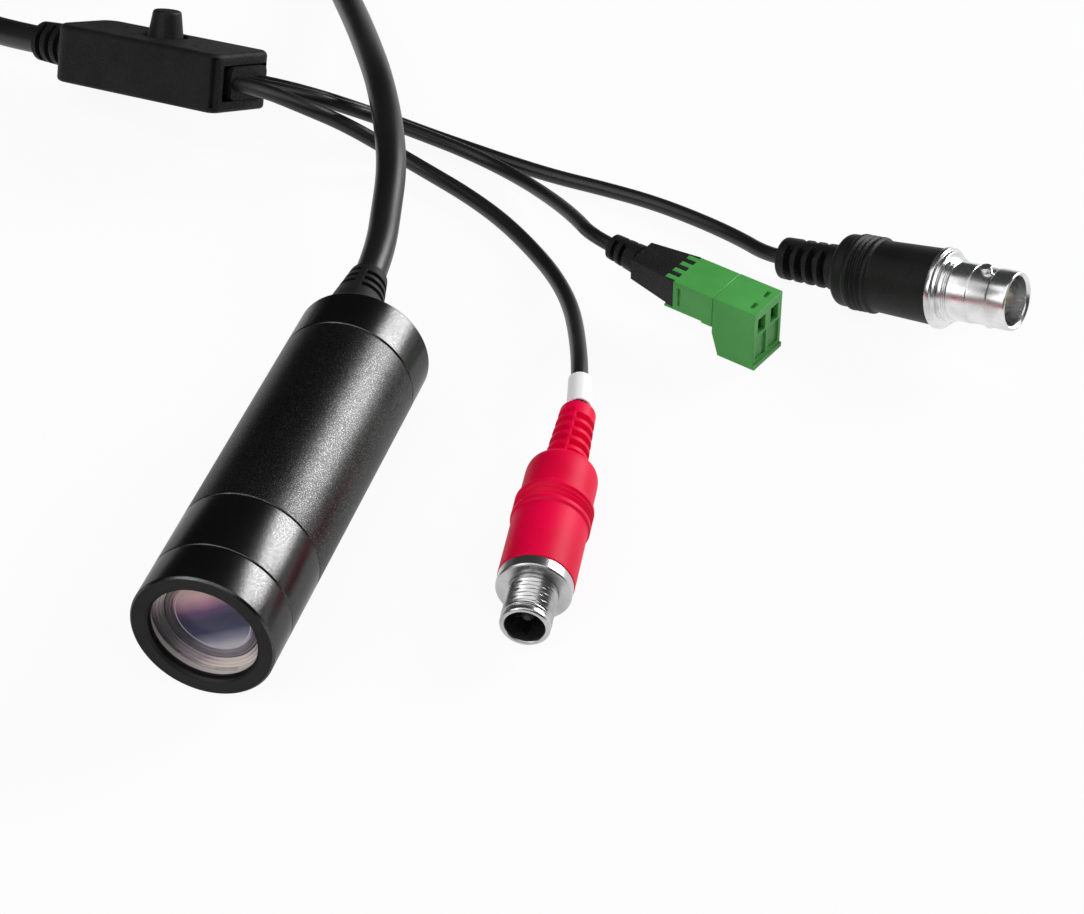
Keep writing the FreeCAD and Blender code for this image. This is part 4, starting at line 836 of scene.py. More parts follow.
class Piece:
    """A new mesh that stands for a CAD node and rides on its body."""

    def __init__(self, bench: Bench, name: str) -> None:
        """Starts with no grids.

        Args:
            bench: nodes, slots and materials.
            name: the piece's name.
        """
        self.bench = bench
        self.name = name
        self.points: list[Array] = []
        self.faces: list[Array] = []
        self.looks: list[Array] = []
        self.count = 0

    def add(self, grid: Array, rows_closed: bool = False, look: int = 0) -> "Piece":
        """Adds a grid that is closed round its columns, with its faces turned outwards.

        Outwards is where the sum of the tetrahedra from the middle to the faces is positive.

        Args:
            grid: (rows, columns, 3) points in metres.
            rows_closed: whether the last row joins the first, as on a ring.
            look: index of the material of these faces.

        Returns:
            The piece.
        """
        rows, columns = grid.shape[:2]
        index = np.arange(rows * columns).reshape(rows, columns)
        if rows_closed:
            index = np.vstack([index, index[:1]])
        index = np.hstack([index, index[:, :1]])
        corners = [index[:-1, :-1], index[:-1, 1:], index[1:, 1:], index[1:, :-1]]
        quads = np.stack(corners, axis=2).reshape(-1, 4)
        flat = grid.reshape(-1, 3)
        a, b, c, d = (flat[quads[:, corner]] - flat.mean(axis=0) for corner in range(4))
        volume = np.einsum("ij,ij->", a, np.cross(b, c)) + np.einsum("ij,ij->", a, np.cross(c, d))
        if volume < 0:
            quads = quads[:, ::-1]
        self.points.append(flat)
        self.faces.append(quads + self.count)
        self.looks.append(np.full(len(quads), look))
        self.count += len(flat)
        return self

    def make(self, node: str, *looks: Looks, sharp: float) -> str:
        """Writes the mesh, merges its poles and hands it to the frame.

        Args:
            node: the CAD node it stands for.
            looks: the piece's finishes in order.
            sharp: angle in degrees past which an edge stays crisp.

        Returns:
            The object's name.
        """
        mesh = bpy.data.meshes.new(self.name)
        mesh.from_pydata(np.vstack(self.points).tolist(), [], np.vstack(self.faces).tolist())
        mesh.polygons.foreach_set("material_index", np.concatenate(self.looks).astype(np.int32))
        merged(mesh, reach=1e-7, crumbs=1e-8)
        materials = [self.bench.wardrobe.get(look) for look in looks]
        return settle(mesh, self.name, materials, self.bench.body(node), node,
                      self.bench.slot(node), sharp).name


@dataclass(frozen=True)
class Lamp:
    """A rectangular soft lamp: place, target and size in metres, power in watts."""

    name: str
    place: Point
    target: Point
    size: tuple[float, float]
    watts: float

    def hang(self) -> None:
        """Puts up the lamp, its back away from its target and its sides level."""
        data = bpy.data.lights.new(self.name, "AREA")
        data.shape = "RECTANGLE"
        data.size, data.size_y = self.size
        data.energy = self.watts
        back = np.array(self.place) - np.array(self.target)
        back = back / np.linalg.norm(back)
        right = np.cross(np.array([0.0, 0.0, 1.0]), back)
        right = right / np.linalg.norm(right)
        stand(self.name, data, np.array([right, np.cross(back, right), back]), np.array(self.place))


@dataclass
class Studio:
    """Pale floor, soft lamps and the camera of the photograph."""

    eye: Point = (134.0, -317.85, 299.1)
    right: Point = (0.9588, 0.2840, 0.0)
    up: Point = (-0.1807, 0.6102, 0.7713)
    back: Point = (0.2190, -0.7396, 0.6364)
    lens: float = 98.97
    sensor: float = 36.0
    clip: float = 0.01
    floor_size: float = 6.0
    floor_tone: float = 0.86
    floor_wash: float = 0.93
    room: Colour = (0.8, 0.82, 0.85)
    room_strength: float = 0.05
    lamps: tuple[Lamp, ...] = (
        Lamp("key_softbox", (0.62, 0.772, 0.405), (0.0, 0.03, 0.0), (0.5, 0.5), 9.6),
        Lamp("ceiling", (-0.05, -0.5, 1.0), (-0.05, -0.501, 0.0), (1.6, 1.2), 8.2),
        Lamp("front_fill", (-0.55, -0.75, 0.6), (0.0, 0.0, 0.0), (0.6, 0.6), 2.5))

    def build(self) -> None:
        """Camera, floor, lamps and a dim room."""
        self.shoot()
        self.floor()
        for lamp in self.lamps:
            lamp.hang()
        world = bpy.data.worlds.new("room")
        bpy.context.scene.world = world
        world.use_nodes = True
        graph = Graph(world.node_tree)
        sky = graph.node("ShaderNodeBackground", None,
                         {"Color": rgba(self.room), "Strength": self.room_strength})
        graph.node("ShaderNodeOutputWorld", None, {"Surface": sky.outputs[0]})
        bpy.context.scene.view_settings.view_transform = "Standard"

    def shoot(self) -> None:
        """Sets the camera."""
        data = bpy.data.cameras.new("photo_camera")
        data.lens = self.lens
        data.sensor_fit = "HORIZONTAL"
        data.sensor_width = self.sensor
        data.clip_start = self.clip
        axes = np.array([self.right, self.up, self.back])
        bpy.context.scene.camera = stand("photo_camera", data, axes, np.array(self.eye) * MM)

    def background(self, graph: Graph) -> Value:
        """Which rays see the background itself: camera, glossy and transmission rays.

        Args:
            graph: the floor's graph.

        Returns:
            1 for those rays, 0 for the rest.
        """
        path = graph.node("ShaderNodeLightPath")
        seen = graph.value(path, "Is Camera Ray").most(graph.value(path, "Is Glossy Ray"))
        return seen.most(graph.value(path, "Is Transmission Ray"))

    def floor(self) -> None:
        """A wide pale sheet that keeps a share of the shadow."""
        half = self.floor_size / 2
        corners = [(-half, -half, 0), (half, -half, 0), (half, half, 0), (-half, half, 0)]
        mesh = bpy.data.meshes.new("floor")
        mesh.from_pydata(corners, [], [(0, 1, 2, 3)])
        material, graph = Graph.material("pale_floor")
        paper = graph.node("ShaderNodeBsdfDiffuse", None, {"Color": rgba(grey(self.floor_tone))})
        white = graph.node("ShaderNodeEmission", None, {"Color": rgba(grey(1.0)), "Strength": 1.0})
        sheet = graph.node("ShaderNodeMixShader", None, {
            0: self.background(graph) * self.floor_wash, 1: paper.outputs[0], 2: white.outputs[0]})
        graph.node("ShaderNodeOutputMaterial", None, {"Surface": sheet.outputs[0]})
        mesh.materials.append(material)
        show("floor", mesh)


@dataclass
class CameraHead:
    """Barrel of four screwed sections, window, lens and boards; x runs back from the front face."""

    bench: Bench
    pose: Pose = Pose((0.0, -35.15, AXIS_Z), yaw=90.0)
    segments: int = 192
    radius: float = 11.0
    cap_end: float = 7.3
    lens_end: float = 18.9
    main_end: float = 61.6
    seam: float = 0.08
    edge: float = 0.14
    face_bevel: float = 0.45
    rim_bevel: float = 0.3
    window_r: float = 8.3
    lip: float = 1.2
    seat_r: float = 9.05
    # Steps of the turned sections: x and radius.
    cap_thread: tuple[float, float] = (4.22, 9.6)
    cap_seal: tuple[float, float] = (6.2, 10.2)
    lens_bore: float = 8.2
    lens_spigot: tuple[float, float] = (4.3, 9.55)
    holder_seat: tuple[float, float] = (12.0, 8.72)
    joint_groove: tuple[float, float] = (20.0, 9.15)
    joint_spigot: tuple[float, float] = (23.4, 9.7)
    main_bore: float = 9.3
    main_socket_r: float = 9.75
    main_sockets: tuple[float, float] = (23.56, 57.02)
    retainer: Outline = (
        (3.0, 8.3), (3.0, 8.98), (4.0, 8.98), (4.0, 7.3), (3.85, 7.3), (3.78, 7.6), (3.6, 7.6),
        (3.52, 7.95), (3.34, 7.95), (3.26, 8.3))
    # Front glass: x of crest and brim with the brim's radius, x of back and seat with the seat's.
    glass_crown: tuple[float, float, float] = (3.95, 4.4, 6.14)
    glass_seat: tuple[float, float, float] = (6.9, 4.76, 6.38)
    # Reach of the rounding of corners.
    face_round: float = 0.12
    skin_round: float = 0.1
    section_round: float = 0.08
    retainer_round: float = 0.03

    def build(self) -> None:
        """Sections, glass and inner pieces."""
        self.front_cap()
        self.lens_section()
        self.main_section()
        self.bench.refine("rear_cap", Looks.SATIN, bevel=0.12)
        self.bench.refine("cable_boot", Looks.MOULDING, bevel=0.16)
        self.lens()
        self.inside()

    def ring(self, name: str, outline: Outline, look: Looks, node: str, reach: float) -> None:
        """A turned ring: a closed outline with rounded corners, carried round the axis.

        Args:
            name: the piece's name.
            outline: corners of x and radius.
            look: its finish.
            node: the CAD node it stands for.
            reach: reach of the rounding.
        """
        grid = self.pose.lay(spun(soften(np.array(outline), reach, 4), self.segments))
        Piece(self.bench, name).add(grid, rows_closed=True).make(node, look, sharp=30.0)

    def skin(self, start: float, end: float) -> Outline:
        """Outer wall of a section between two seams, with a fine bevel at each end."""
        out, edge = self.radius, self.edge
        return ((start, out - edge), (start + edge, out), (end - edge, out), (end, out - edge))

    def front_cap(self) -> None:
        """Front cap: the rim's matt face and bevels take a finish of their own."""
        out, lip, window, bevel = self.radius, self.lip, self.window_r, self.face_bevel
        brow = (0.0, out - self.rim_bevel)
        thread_at, thread_r = self.cap_thread
        seal_at, seal_r = self.cap_seal
        face = np.array([(lip, window), (bevel, window), (0.0, window + bevel), brow])
        skin = np.array([
            brow, (self.rim_bevel, out), *self.skin(0.0, self.cap_end)[2:],
            (self.cap_end, seal_r), (seal_at, seal_r), (seal_at, thread_r), (thread_at, thread_r),
            (thread_at, self.seat_r), (lip, self.seat_r), (lip, window)])
        piece = Piece(self.bench, "front_section")
        for look, (outline, reach) in enumerate([(face, self.face_round), (skin, self.skin_round)]):
            grid = spun(soften(outline, reach, 4, closed=False), self.segments)
            piece.add(self.pose.lay(grid), look=look)
        piece.make("front_cap", Looks.FACE, Looks.SATIN, sharp=30.0)

    def lens_section(self) -> None:
        """Second section: spigot for the cap, outer wall, seal groove, rear spigot and bores."""
        start = self.cap_end + self.seam
        spigot_at, spigot_r = self.lens_spigot
        groove_to, groove_r = self.joint_groove
        joint_to, joint_r = self.joint_spigot
        holder_at, holder_r = self.holder_seat
        self.ring("lens_section", (
            (spigot_at, self.lens_bore), (spigot_at, spigot_r), (start, spigot_r),
            *self.skin(start, self.lens_end), (self.lens_end, groove_r), (groove_to, groove_r),
            (groove_to, joint_r), (joint_to, joint_r), (joint_to, holder_r), (holder_at, holder_r),
            (holder_at, self.lens_bore)), Looks.SATIN, "lens_housing", self.section_round)

    def main_section(self) -> None:
        """Long middle section, counterbored at both ends."""
        start = self.lens_end + self.seam
        near, far = self.main_sockets
        socket, bore = self.main_socket_r, self.main_bore
        self.ring("main_section", (
            (start, socket), *self.skin(start, self.main_end), (self.main_end, socket),
            (far, socket), (far, bore), (near, bore), (near, socket)), Looks.BLASTED, "main_barrel",
            self.section_round)

    def lens(self) -> None:
        """Window and lens pieces."""
        bench = self.bench
        bench.refine("window_glass", Looks.WINDOW, bevel=0.0)
        bench.refine("window_seal", Looks.SEAL, bevel=0.0)
        self.ring("window_retainer", self.retainer, Looks.LENS_RING, "window_ring",
                  self.retainer_round)
        bench.refine("lens_barrel", Looks.LENS_BEZEL, bevel=0.1)
        bench.refine("lens_front_ring", Looks.LENS_BEZEL, bevel=0.12)
        self.front_glass()
        bench.refine("lens_rear_element", Looks.REAR_LENS, bevel=0.0)
        bench.paint(Looks.SEAL, "cap_seal_ring", "focus_seal_ring", "joint_seal_rings")
        bench.paint(Looks.LENS_METAL, "lens_holder")
        bench.paint(Looks.REAR_LENS, "ir_filter")

    def front_glass(self) -> None:
        """Front lens glass, stepped under its ring, with a crown that is an arc of a circle."""
        crest, brim, brim_r = self.glass_crown
        back, seat, seat_r = self.glass_seat
        rise = brim - crest
        ball = (brim_r ** 2 + rise ** 2) / (2 * rise)
        out = np.linspace(0.0, brim_r, 24)
        crown = np.stack([crest + ball - np.sqrt(ball ** 2 - out ** 2), out], axis=1)
        steps = np.array([(seat, brim_r), (seat, seat_r), (back, seat_r), (back, 0.0)])
        grid = self.pose.lay(spun(np.vstack([crown, steps]), self.segments))
        piece = Piece(self.bench, "front_glass").add(grid)
        piece.make("lens_front_element", Looks.LENS, sharp=30.0)

    def inside(self) -> None:
        """Boards and what is on them."""
        bench = self.bench
        bench.paint(Looks.BOARD, "sensor_board", "processor_board", "power_board")
        bench.paint(Looks.STEEL, "board_spacers", "board_screws")
        bench.paint(Looks.IVORY, "board_connectors")
        bench.paint(Looks.CHIP, "image_sensor", "video_processor", "power_inductor")
        bench.paint(Looks.WIRE, "cable_wires")


@dataclass
class ControlBox:
    """In-line joystick box."""

    bench: Bench
    pose: Pose = Pose((-63.5, 103.1, 5.3284), yaw=-16.08, rise=8.47, roll=-23.72)
    relief_tail: float = -27.94
    cable_axis: float = 5.35
    collar: float = 19.74
    lead_offset: float = 1.1
    lead_axis: float = 5.2
    lead_pitch: float = 3.1
    lead_run: float = 5.0

    def cable_end(self, run: float) -> Array:
        """Point on the axis of the cable relief, a run out from its tail."""
        return self.pose.lay(np.array([self.relief_tail - run, 0.0, self.cable_axis])) / MM

    def lead_exit(self, side: int) -> Array:
        """Start of a lead's route, on the axis of its exit.

        Args:
            side: -1, 0 or 1 for the three exits side by side.

        Returns:
            (2, 3) millimetres: the collar and a run out from it.
        """
        across = self.lead_offset + side * self.lead_pitch
        return self.pose.lay(np.array([
            [self.collar, across, self.lead_axis],
            [self.collar + self.lead_run, across, self.lead_axis]])) / MM

    def build(self) -> list[str]:
        """Dresses the box and its switch.

        Returns:
            Names of the objects that go with the cable.
        """
        bench = self.bench
        looks = [bench.refine("control_box", Looks.BOX, bevel=0.15),
                 bench.refine("joystick_cap", Looks.MOULDING, bevel=0.0)]
        steel = ["switch_cover", "switch_plunger", "switch_gimbal", "switch_stick"]
        bench.paint(Looks.BOARD, "switch_board")
        bench.paint(Looks.CHIP, "switch_base")
        bench.paint(Looks.STEEL, *steel)
        return looks + ["switch_board", "switch_base"] + steel


@dataclass(frozen=True)
class Lead:
    """A breakout lead: CAD node, exit from the box, diameter, length in metres and route."""

    node: str
    side: int
    diameter: float
    length: float
    route: tuple[Point, ...]


@dataclass
class Cords:
    """Main cable with its tied coil, and the three leads, on the routes of their solids."""

    bench: Bench
    cable_d: float = 5.2
    cable_length: float = 1.7
    box_run: float = 9.0
    coil_centre: tuple[float, float] = (-99.75, 184.1)
    coil_from: float = 16.0
    coil_to: float = 180.0
    coil_columns: tuple[float, ...] = (38.875, 33.625, 28.375, 23.125)
    coil_floor: float = 3.42
    coil_pitch: float = 5.25
    coil_turns: int = 7
    turn_points: int = 20
    cord_sides: int = 7
    cord_steps: int = 10
    # Degrees into a turn between which it climbs to the top layer or moves to the next column.
    climb_window: tuple[float, float] = (260.0, 310.0)
    inward_window: tuple[float, float] = (310.0, 360.0)
    outward_window: tuple[float, float] = (210.0, 260.0)
    cable_route: tuple[Point, ...] = (
        (-5.432, 52.885, 11.0), (-6.129, 60.855, 11.0), (-9.0, 72.7, 11.4), (-11.0, 81.0, 12.2),
        (-13.4, 88.0, 13.2), (-17.2, 96.9, 13.8), (-22.0, 106.9, 13.8), (-28.6, 119.8, 11.4),
        (-35.7, 133.5, 8.0), (-42.9, 146.5, 5.0), (-50.1, 158.7, 3.3), (-55.4, 172.2, 2.9),
        (-59.5, 184.4, 3.3))
    tail_route: tuple[Point, ...] = (
        (-139.0, 172.0, 7.2), (-137.4, 159.4, 4.9), (-133.2, 146.8, 3.0), (-126.2, 135.4, 2.65),
        (-116.8, 126.2, 2.65), (-107.2, 119.3, 3.2))

    def spline(self, name: str, route: Array, diameter: float) -> bpy.types.Object:
        """A round cord whose centreline is a quadratic NURBS on the route's points.

        Args:
            name: the piece's name.
            route: (n, 3) points in millimetres.
            diameter: the cord's diameter in millimetres.

        Returns:
            The curve object.
        """
        data = bpy.data.curves.new(name, "CURVE")
        data.dimensions = "3D"
        data.bevel_depth = diameter / 2 * MM
        data.bevel_resolution = self.cord_sides
        data.resolution_u = self.cord_steps
        data.use_fill_caps = True
        line = data.splines.new("NURBS")
        line.points.add(len(route) - 1)
        weighted = np.hstack([route * MM, np.ones((len(route), 1))])
        line.points.foreach_set("co", weighted.ravel())
        line.order_u = 3
        line.use_endpoint_u = True
        data.materials.append(self.bench.wardrobe.get(Looks.JACKET))
        made = show(name, data)
        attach(made, ROOT_BODY)
        LOG.info("cord %s: %d points", name, len(route))
        return made

    def coil(self) -> Array:
        """Turns of the put-away length: inwards on the floor, up, and outwards on top.

        A control point at radius r / cos(half a step) puts the curve itself at r. Each turn's move
        to its next column or layer fills its own window of angles, so that no turn cuts another.

        Returns:
            (n, 3) points in millimetres.
        """
        columns = len(self.coil_columns)
        total = self.coil_turns * 360.0 + self.coil_to - self.coil_from
        along = np.linspace(0, total, int(total / 360.0 * self.turn_points))
        turn = np.minimum((along // 360.0).astype(int), self.coil_turns)
        into = along - turn * 360.0
        order = np.concatenate([np.arange(columns), np.arange(columns)[::-1]])
        layer = np.concatenate([np.zeros(columns), np.ones(columns)])
        cell = np.minimum(turn, len(order) - 1)
        following = np.minimum(cell + 1, len(order) - 1)
        window = np.where((layer[cell] == 1)[:, None], self.outward_window, self.inward_window)
        move = step_up(into, window[:, 0], window[:, 1])
        climb = step_up(into, *self.climb_window)
        radii = np.array(self.coil_columns)
        radius = radii[order[cell]] * (1 - move) + radii[order[following]] * move
        rise = layer[cell] * (1 - climb) + layer[following] * climb
        angle = np.radians(self.coil_from + along)
        radius = radius / math.cos(math.pi / self.turn_points)
        return np.stack([self.coil_centre[0] + radius * np.cos(angle),
                         self.coil_centre[1] + radius * np.sin(angle),
                         self.coil_floor + self.coil_pitch * rise], axis=1)

    def lay_cable(self, box: ControlBox) -> bpy.types.Object:
        """The main cable as one spline: boot, table, coil, tail and the box's relief.

        Args:
            box: the box that the cable ends in.

        Returns:
            The cord.
        """
        route = np.vstack([self.cable_route, self.coil(), self.tail_route,
                           box.cable_end(self.box_run), box.cable_end(0.0)])
        made = self.spline("main_cable", route, self.cable_d)
        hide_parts("camera_cable", "cable_coil", "cable_tail")
        return made

    def lay_lead(self, lead: Lead, route: Array) -> bpy.types.Object:
        """One breakout lead.

        Args:
            lead: its names and sizes.
            route: (n, 3) points in millimetres.

        Returns:
            The cord.
        """
        made = self.spline(lead.node + "_cord", route, lead.diameter)
        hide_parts(lead.node)
        return made


@dataclass
class RoundEnd:
    """A round moulding with a slotted boot, drawn from the lead towards its mouth."""

    bench: Bench
    pose: Pose
    name: str
    node: str
    look: Looks
    boot: float
    tail_r: float
    root_r: float
    core_r: float
    slots: int
    spine: float
    front_r: float
    band: tuple[float, float]
    band_r: float
    body_r: float
    length: float
    mouth_r: float
    slot_from: float = 1.9
    slot_share: float = 0.52
    slot_soft: float = 0.14
    spine_soft: float = 0.08
    shoulder: float = 2.2
    edge: float = 0.25
    tail_round: float = 0.5
    boot_gap: float = 0.02
    band_bevel: float = 0.3
    grooves: int = 3
    groove_pitch: float = 0.95
    groove_w: float = 0.5
    groove_depth: float = 0.42
    groove_floor: float = 0.3
    row_step: float = 0.1
    segments: int = 160

    def outline(self) -> Array:
        """Open outline from the tail's middle to the mouth's middle, corners rounded.

        Returns:
            (n, 2) points of x and radius.
        """
        cone = np.array([(0.0, 0.0), (0.0, self.tail_r), (self.boot, self.root_r)])
        start, end = self.band
        body = np.array([
            (self.boot, self.root_r), (self.boot, self.front_r), (start, self.front_r),
            (start + self.band_bevel, self.band_r), (end - self.band_bevel, self.band_r),
            (end, self.body_r), (self.length, self.mouth_r), (self.length, 0.0)])
        reach = np.array([0.0, self.shoulder, *(self.edge,) * 4, self.band_bevel, 0.0])[:, None]
        boot = soften(cone, self.tail_round, 6, closed=False)
        smooth = soften(body, reach, 10, closed=False)
        return divide(np.vstack([boot, smooth[1:]]), self.row_step)

    def inset(self, outline: Array) -> Array:
        """Depth of the boot's staggered slots and of the band's rounded grooves.

        A slot is a smooth box in x times a smooth sector in angle, on one side of the spines at the
        top and bottom. A groove is a raised cosine in x.

        Args:
            outline: (n, 2) points of x and radius.

        Returns:
            (n, segments) depths.
        """
        angle = round_angles(self.segments)
        x, radius = outline[:, 0], outline[:, 1]
        pitch = (self.boot - self.slot_from) / (self.slots + 0.5)
        stagger = np.array([0.0, 0.5])[:, None]
        low = (self.slot_from + (np.arange(self.slots)[None, :] + stagger) * pitch)[:, :, None]
        high = low + pitch * self.slot_share
        soft = self.slot_soft
        wall = step_up(x, low - soft, low + soft) * (1 - step_up(x, high - soft, high + soft))
        spine = math.sin(math.radians(self.spine))
        edge = (spine - self.spine_soft, spine + self.spine_soft)
        sides = np.stack([step_up(-np.cos(angle), *edge), step_up(np.cos(angle), *edge)])
        mask = np.clip(np.einsum("sn,sm->nm", wall.max(axis=1), sides), 0, 1)
        on_boot = (x < self.boot - self.boot_gap) & (radius > self.core_r)
        slots = np.where(on_boot[:, None], mask * (radius - self.core_r)[:, None], 0.0)
        middle = (self.band[0] + self.band[1]) / 2
        centres = middle + (np.arange(self.grooves) - (self.grooves - 1) / 2) * self.groove_pitch
        near = np.clip(np.abs(x[:, None] - centres[None, :]) / self.groove_w, 0, 1)
        cut = (0.5 + 0.5 * np.cos(np.pi * near)).max(axis=1) * self.groove_depth
        return slots + np.where(radius > self.body_r - self.groove_floor, cut, 0.0)[:, None]

    def build(self) -> str:
        """Makes the moulding.

        Returns:
            The object's name.
        """
        outline = self.outline()
        grid = self.pose.lay(spun(outline, self.segments, self.inset(outline)))
        return Piece(self.bench, self.name).add(grid).make(self.node, self.look, sharp=40.0)


@dataclass
class VideoEnd:
    """Black moulding and plated bayonet jack."""

    bench: Bench
    pose: Pose = Pose((56.66, 88.06, 3.67), yaw=-17.35, rise=11.16)
    lead: Lead = Lead("video_lead", 1, 2.6, 0.109, (
        (-32.75, 103.75, 10.15), (-27.6, 107.9, 6.1), (-22.0, 110.8, 2.7), (-14.1, 109.8, 1.6),
        (-5.9, 107.8, 1.4), (3.1, 105.5, 1.35), (11.8, 103.6, 1.35), (20.9, 102.5, 1.35),
        (30.1, 100.9, 1.35), (39.1, 98.0, 1.4), (47.3, 94.2, 1.7)))
    lead_run: float = 3.5
    segments: int = 160
    body: float = 30.22
    flange: Outline = (
        (0.0, 3.22), (0.0, 6.8), (0.9, 6.8), (1.0, 6.3), (1.6, 6.2), (1.6, 5.3), (2.3, 5.3),
        (2.35, 5.05), (2.7, 5.05), (2.75, 5.3), (3.0, 5.3), (3.0, 4.9))
    barrel: Outline = (
        (36.6, 4.9), (36.7, 4.78), (40.3, 4.78), (40.4, 4.9), (43.55, 4.9), (43.8, 4.75),
        (43.8, 4.5), (43.4, 4.1), (34.6, 4.1), (34.6, 3.22))
    shell_round: float = 0.14
    lug_x: float = 38.6
    lug_r: float = 1.0
    lug_span: tuple[float, float] = (4.4, 5.65)
    lug_round: float = 0.22
    lug_sides: int = 40

    def entry(self) -> Array:
        """Last two points of the lead, on the boot's axis."""
        return self.pose.lay(np.array([[-self.lead_run, 0.0, 0.0], [0.0, 0.0, 0.0]])) / MM

    def build(self) -> list[str]:
        """Moulding, shell with lugs, insulator and contact.

        Returns:
            The objects' names.
        """
        moulding = RoundEnd(
            self.bench, self.pose, "video_body", "video_moulding", Looks.MOULDING, boot=11.9,
            tail_r=3.55, root_r=3.9, core_r=2.1, slots=4, spine=15.0, front_r=6.1,
            band=(14.4, 18.9), band_r=6.45, body_r=6.0, length=30.2, mouth_r=6.4)
        return [moulding.build(), self.shell(),
                self.bench.refine("video_insulator", Looks.GREY, bevel=0.1),
                self.bench.refine("video_contact", Looks.GOLD, bevel=0.06)]

    def shell(self) -> str:
        """Flange in two steps, hub, barrel with a fine band under the lugs, rolled mouth and lugs.

        Returns:
            The object's name.
        """
        hub = np.array(self.flange) + np.array([self.body, 0.0])
        outline = soften(np.vstack([hub, self.barrel]), self.shell_round, 4)
        piece = Piece(self.bench, "video_shell_body")
        piece.add(self.pose.lay(spun(outline, self.segments)), rows_closed=True)
        for sign in (1.0, -1.0):
            piece.add(self.pose.lay(self.lug(sign)))
        return piece.make("video_shell", Looks.PLATE, sharp=32.0)

    def lug(self, sign: float) -> Array:
        """A round locking lug: a short pin with a rounded top that stands out along local Z.

        Args:
            sign: 1 for the upper lug, -1 for the lower one.

        Returns:
            (n, m, 3) grid in local millimetres.
        """
        root, top = self.lug_span
        outline = np.array([(root, 0.0), (root, self.lug_r), (top, self.lug_r), (top, 0.0)])
        pin = spun(soften(outline, self.lug_round, 6, closed=False), self.lug_sides)
        return np.stack([pin[:, :, 1] + self.lug_x, pin[:, :, 2], sign * pin[:, :, 0]], axis=2)


@dataclass
class PowerEnd:
    """Red moulding, plated threaded jack and the white marker sleeve."""

    bench: Bench
    pose: Pose = Pose((36.14, 32.55, 7.88), yaw=-83.49, rise=-3.0)
    slant: Pose = Pose((0.0, 0.0, 0.0), yaw=7.0)
    lead: Lead = Lead("power_lead", -1, 2.8, 0.124, (
        (-32.4, 96.5, 12.4), (-25.9, 99.5, 8.0), (-18.3, 100.2, 3.8), (-10.0, 97.6, 2.1),
        (-1.7, 93.7, 1.5), (6.3, 88.3, 1.45), (13.7, 81.6, 1.5), (20.1, 74.4, 1.9),
        (25.3, 65.7, 3.2), (29.3, 55.8, 5.2)))
    lead_span: tuple[float, float] = (-9.0, 0.6)
    segments: int = 160
    flange: Outline = (
        (38.12, 3.0), (38.12, 5.75), (39.87, 5.75), (40.12, 5.5), (40.12, 3.6), (40.37, 3.6),
        (40.52, 3.85))
    mouth: Outline = (
        (46.0, 3.85), (46.15, 3.6), (46.4, 3.6), (46.55, 3.8), (47.15, 3.8), (47.4, 3.55),
        (47.4, 3.15), (47.2, 3.0), (40.5, 3.0))
    jack_round: float = 0.1
    jack_step: float = 0.08
    thread: tuple[float, float] = (40.5, 46.0)
    thread_fade: tuple[float, float] = (0.6, 0.5)
    thread_inside: float = 3.4
    pitch: float = 0.76
    thread_depth: float = 0.28
    sleeve_span: tuple[float, float] = (-7.7, -1.4)
    sleeve_r: float = 1.95
    sleeve_bore: float = 1.6
    sleeve_flare: tuple[float, float] = (0.5, 0.03)
    sleeve_round: float = 0.1
    sleeve_sides: int = 64

    def on_slant(self, points: Array) -> Array:
        """Local millimetre points on the lead's slanted entry, as metres in the shared frame."""
        return self.pose.lay(self.slant.lay(points) / MM)

    def entry(self) -> Array:
        """Last two points of the lead, on the slanted entry's axis."""
        return self.on_slant(np.array([[x, 0.0, 0.0] for x in self.lead_span])) / MM

    def build(self) -> list[str]:
        """Moulding, jack, sleeve, insert and pin.

        Returns:
            The objects' names.
        """
        moulding = RoundEnd(
            self.bench, self.pose, "power_body", "power_moulding", Looks.RED, boot=14.0,
            tail_r=2.85, root_r=3.5, core_r=2.1, slots=5, spine=7.0, front_r=5.65,
            band=(21.5, 26.3), band_r=6.15, body_r=5.85, length=38.1, mouth_r=5.85)
        return [moulding.build(), self.jack(), self.sleeve(),
                self.bench.refine("power_insulator", Looks.CHIP, bevel=0.0),
                self.bench.refine("power_pin", Looks.CHIP, bevel=0.0)]

    def jack(self) -> str:
        """Flange, undercut, helical thread and plain mouth ring.

        The thread's depth is a triangle wave of x / pitch less the turn, faded at both ends.

        Returns:
            The object's name.
        """
        outline = soften(np.array(self.flange + self.mouth), self.jack_round, 4, closed=False)
        outline = divide(outline, self.jack_step)
        x = outline[:, 0]
        phase = x[:, None] / self.pitch - round_angles(self.segments)[None, :] / (2 * np.pi)
        tooth = np.abs((phase % 1.0) * 2 - 1)
        start, end = self.thread
        run_in, run_out = self.thread_fade
        fade = step_up(x, start, start + run_in) * (1 - step_up(x, end - run_out, end))
        inset = tooth * (fade * (outline[:, 1] > self.thread_inside) * self.thread_depth)[:, None]
        piece = Piece(self.bench, "power_shell_body")
        piece.add(self.pose.lay(spun(outline, self.segments, inset)), rows_closed=True)
        return piece.make("power_shell", Looks.NICKEL, sharp=36.0)

    def sleeve(self) -> str:
        """Marker sleeve: a thin tube, slightly flared at its ends, over the lead.

        Returns:
            The object's name.
        """
        low, high = self.sleeve_span
        inner, outer = self.sleeve_bore, self.sleeve_r
        run, flare = self.sleeve_flare
        outline = np.array([(low, inner), (low, outer), (low + run, outer - flare),
                            (high - run, outer - flare), (high, outer), (high, inner)])
        piece = Piece(self.bench, "marker_sleeve_body")
        grid = spun(soften(outline, self.sleeve_round, 4), self.sleeve_sides)
        piece.add(self.on_slant(grid), rows_closed=True)
        return piece.make("marker_sleeve", Looks.WHITE, sharp=38.0)


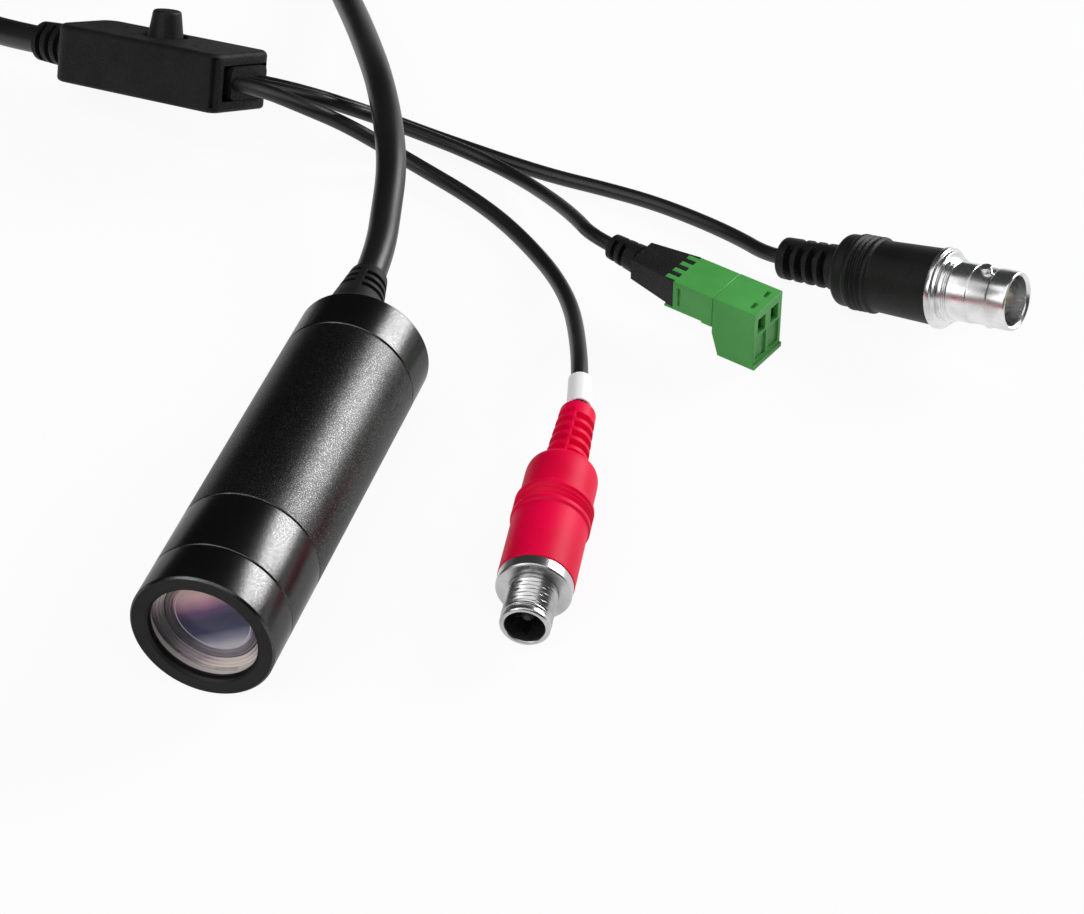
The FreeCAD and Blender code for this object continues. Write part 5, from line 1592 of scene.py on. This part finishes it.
@dataclass
class ControlEnd:
    """Hood, header and pluggable terminal block."""

    bench: Bench
    pose: Pose = Pose((59.02, 64.79, 0.0), yaw=-19.5)
    relief: Pose = Pose((-25.08, 0.0, 9.0), yaw=-6.0)
    lead: Lead = Lead("control_lead", 0, 2.45, 0.091, (
        (-32.1, 101.0, 11.6), (-26.5, 105.1, 7.5), (-20.9, 107.7, 4.4), (-13.0, 106.8, 3.2),
        (-6.1, 104.9, 2.9), (0.6, 103.2, 2.0), (7.6, 98.9, 2.6), (15.2, 91.3, 5.0),
        (21.1, 84.0, 7.4)))
    lead_run: float = 5.0
    relief_len: float = 6.0

    def entry(self) -> Array:
        """Last two points of the lead, on the axis of the hood's relief."""
        tail = np.array([[-self.relief_len - run, 0.0, 0.0] for run in (self.lead_run, 0.0)])
        return self.pose.lay(self.relief.lay(tail) / MM) / MM

    def build(self) -> list[str]:
        """Dresses the pieces.

        Returns:
            Names of the objects on the control lead.
        """
        bench = self.bench
        looks = [bench.refine("terminal_hood", Looks.MOULDING, bevel=0.18),
                 bench.refine("terminal_header", Looks.GREEN, bevel=0.12),
                 bench.refine("terminal_plug", Looks.GREEN, bevel=0.14)]
        gold = ["header_pins", "plug_contacts"]
        steel = ["wire_cage_left", "wire_cage_right", "clamp_screw_left", "clamp_screw_right"]
        bench.paint(Looks.STEEL, *steel)
        bench.paint(Looks.GOLD, *gold)
        return looks + gold + steel


def main() -> None:
    """Builds the studio, the cords and the sub-assemblies in order."""
    logging.basicConfig(level=logging.INFO, format="%(name)s: %(message)s")
    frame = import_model()
    bench = Bench(frame)
    Studio().build()

    cords, box = Cords(bench), ControlBox(bench)
    video, control, power = VideoEnd(bench), ControlEnd(bench), PowerEnd(bench)
    cable = cords.lay_cable(box)
    laid = []
    for end in (video, control, power):
        route = np.vstack([box.lead_exit(end.lead.side), end.lead.route, end.entry()])
        laid.append((end.lead, route, cords.lay_lead(end.lead, route)))

    CameraHead(bench).build()
    on_cable = box.build()
    on_leads = {end.lead.node: end.build() for end in (video, power, control)}
    on_cable += [bench.refine("coil_ties", Looks.STRAP, bevel=0.2), "cable_boot_look"]

    for lead, route, cord in laid:
        tuple(route[0] * MM)


if __name__ == "__main__":
    main()
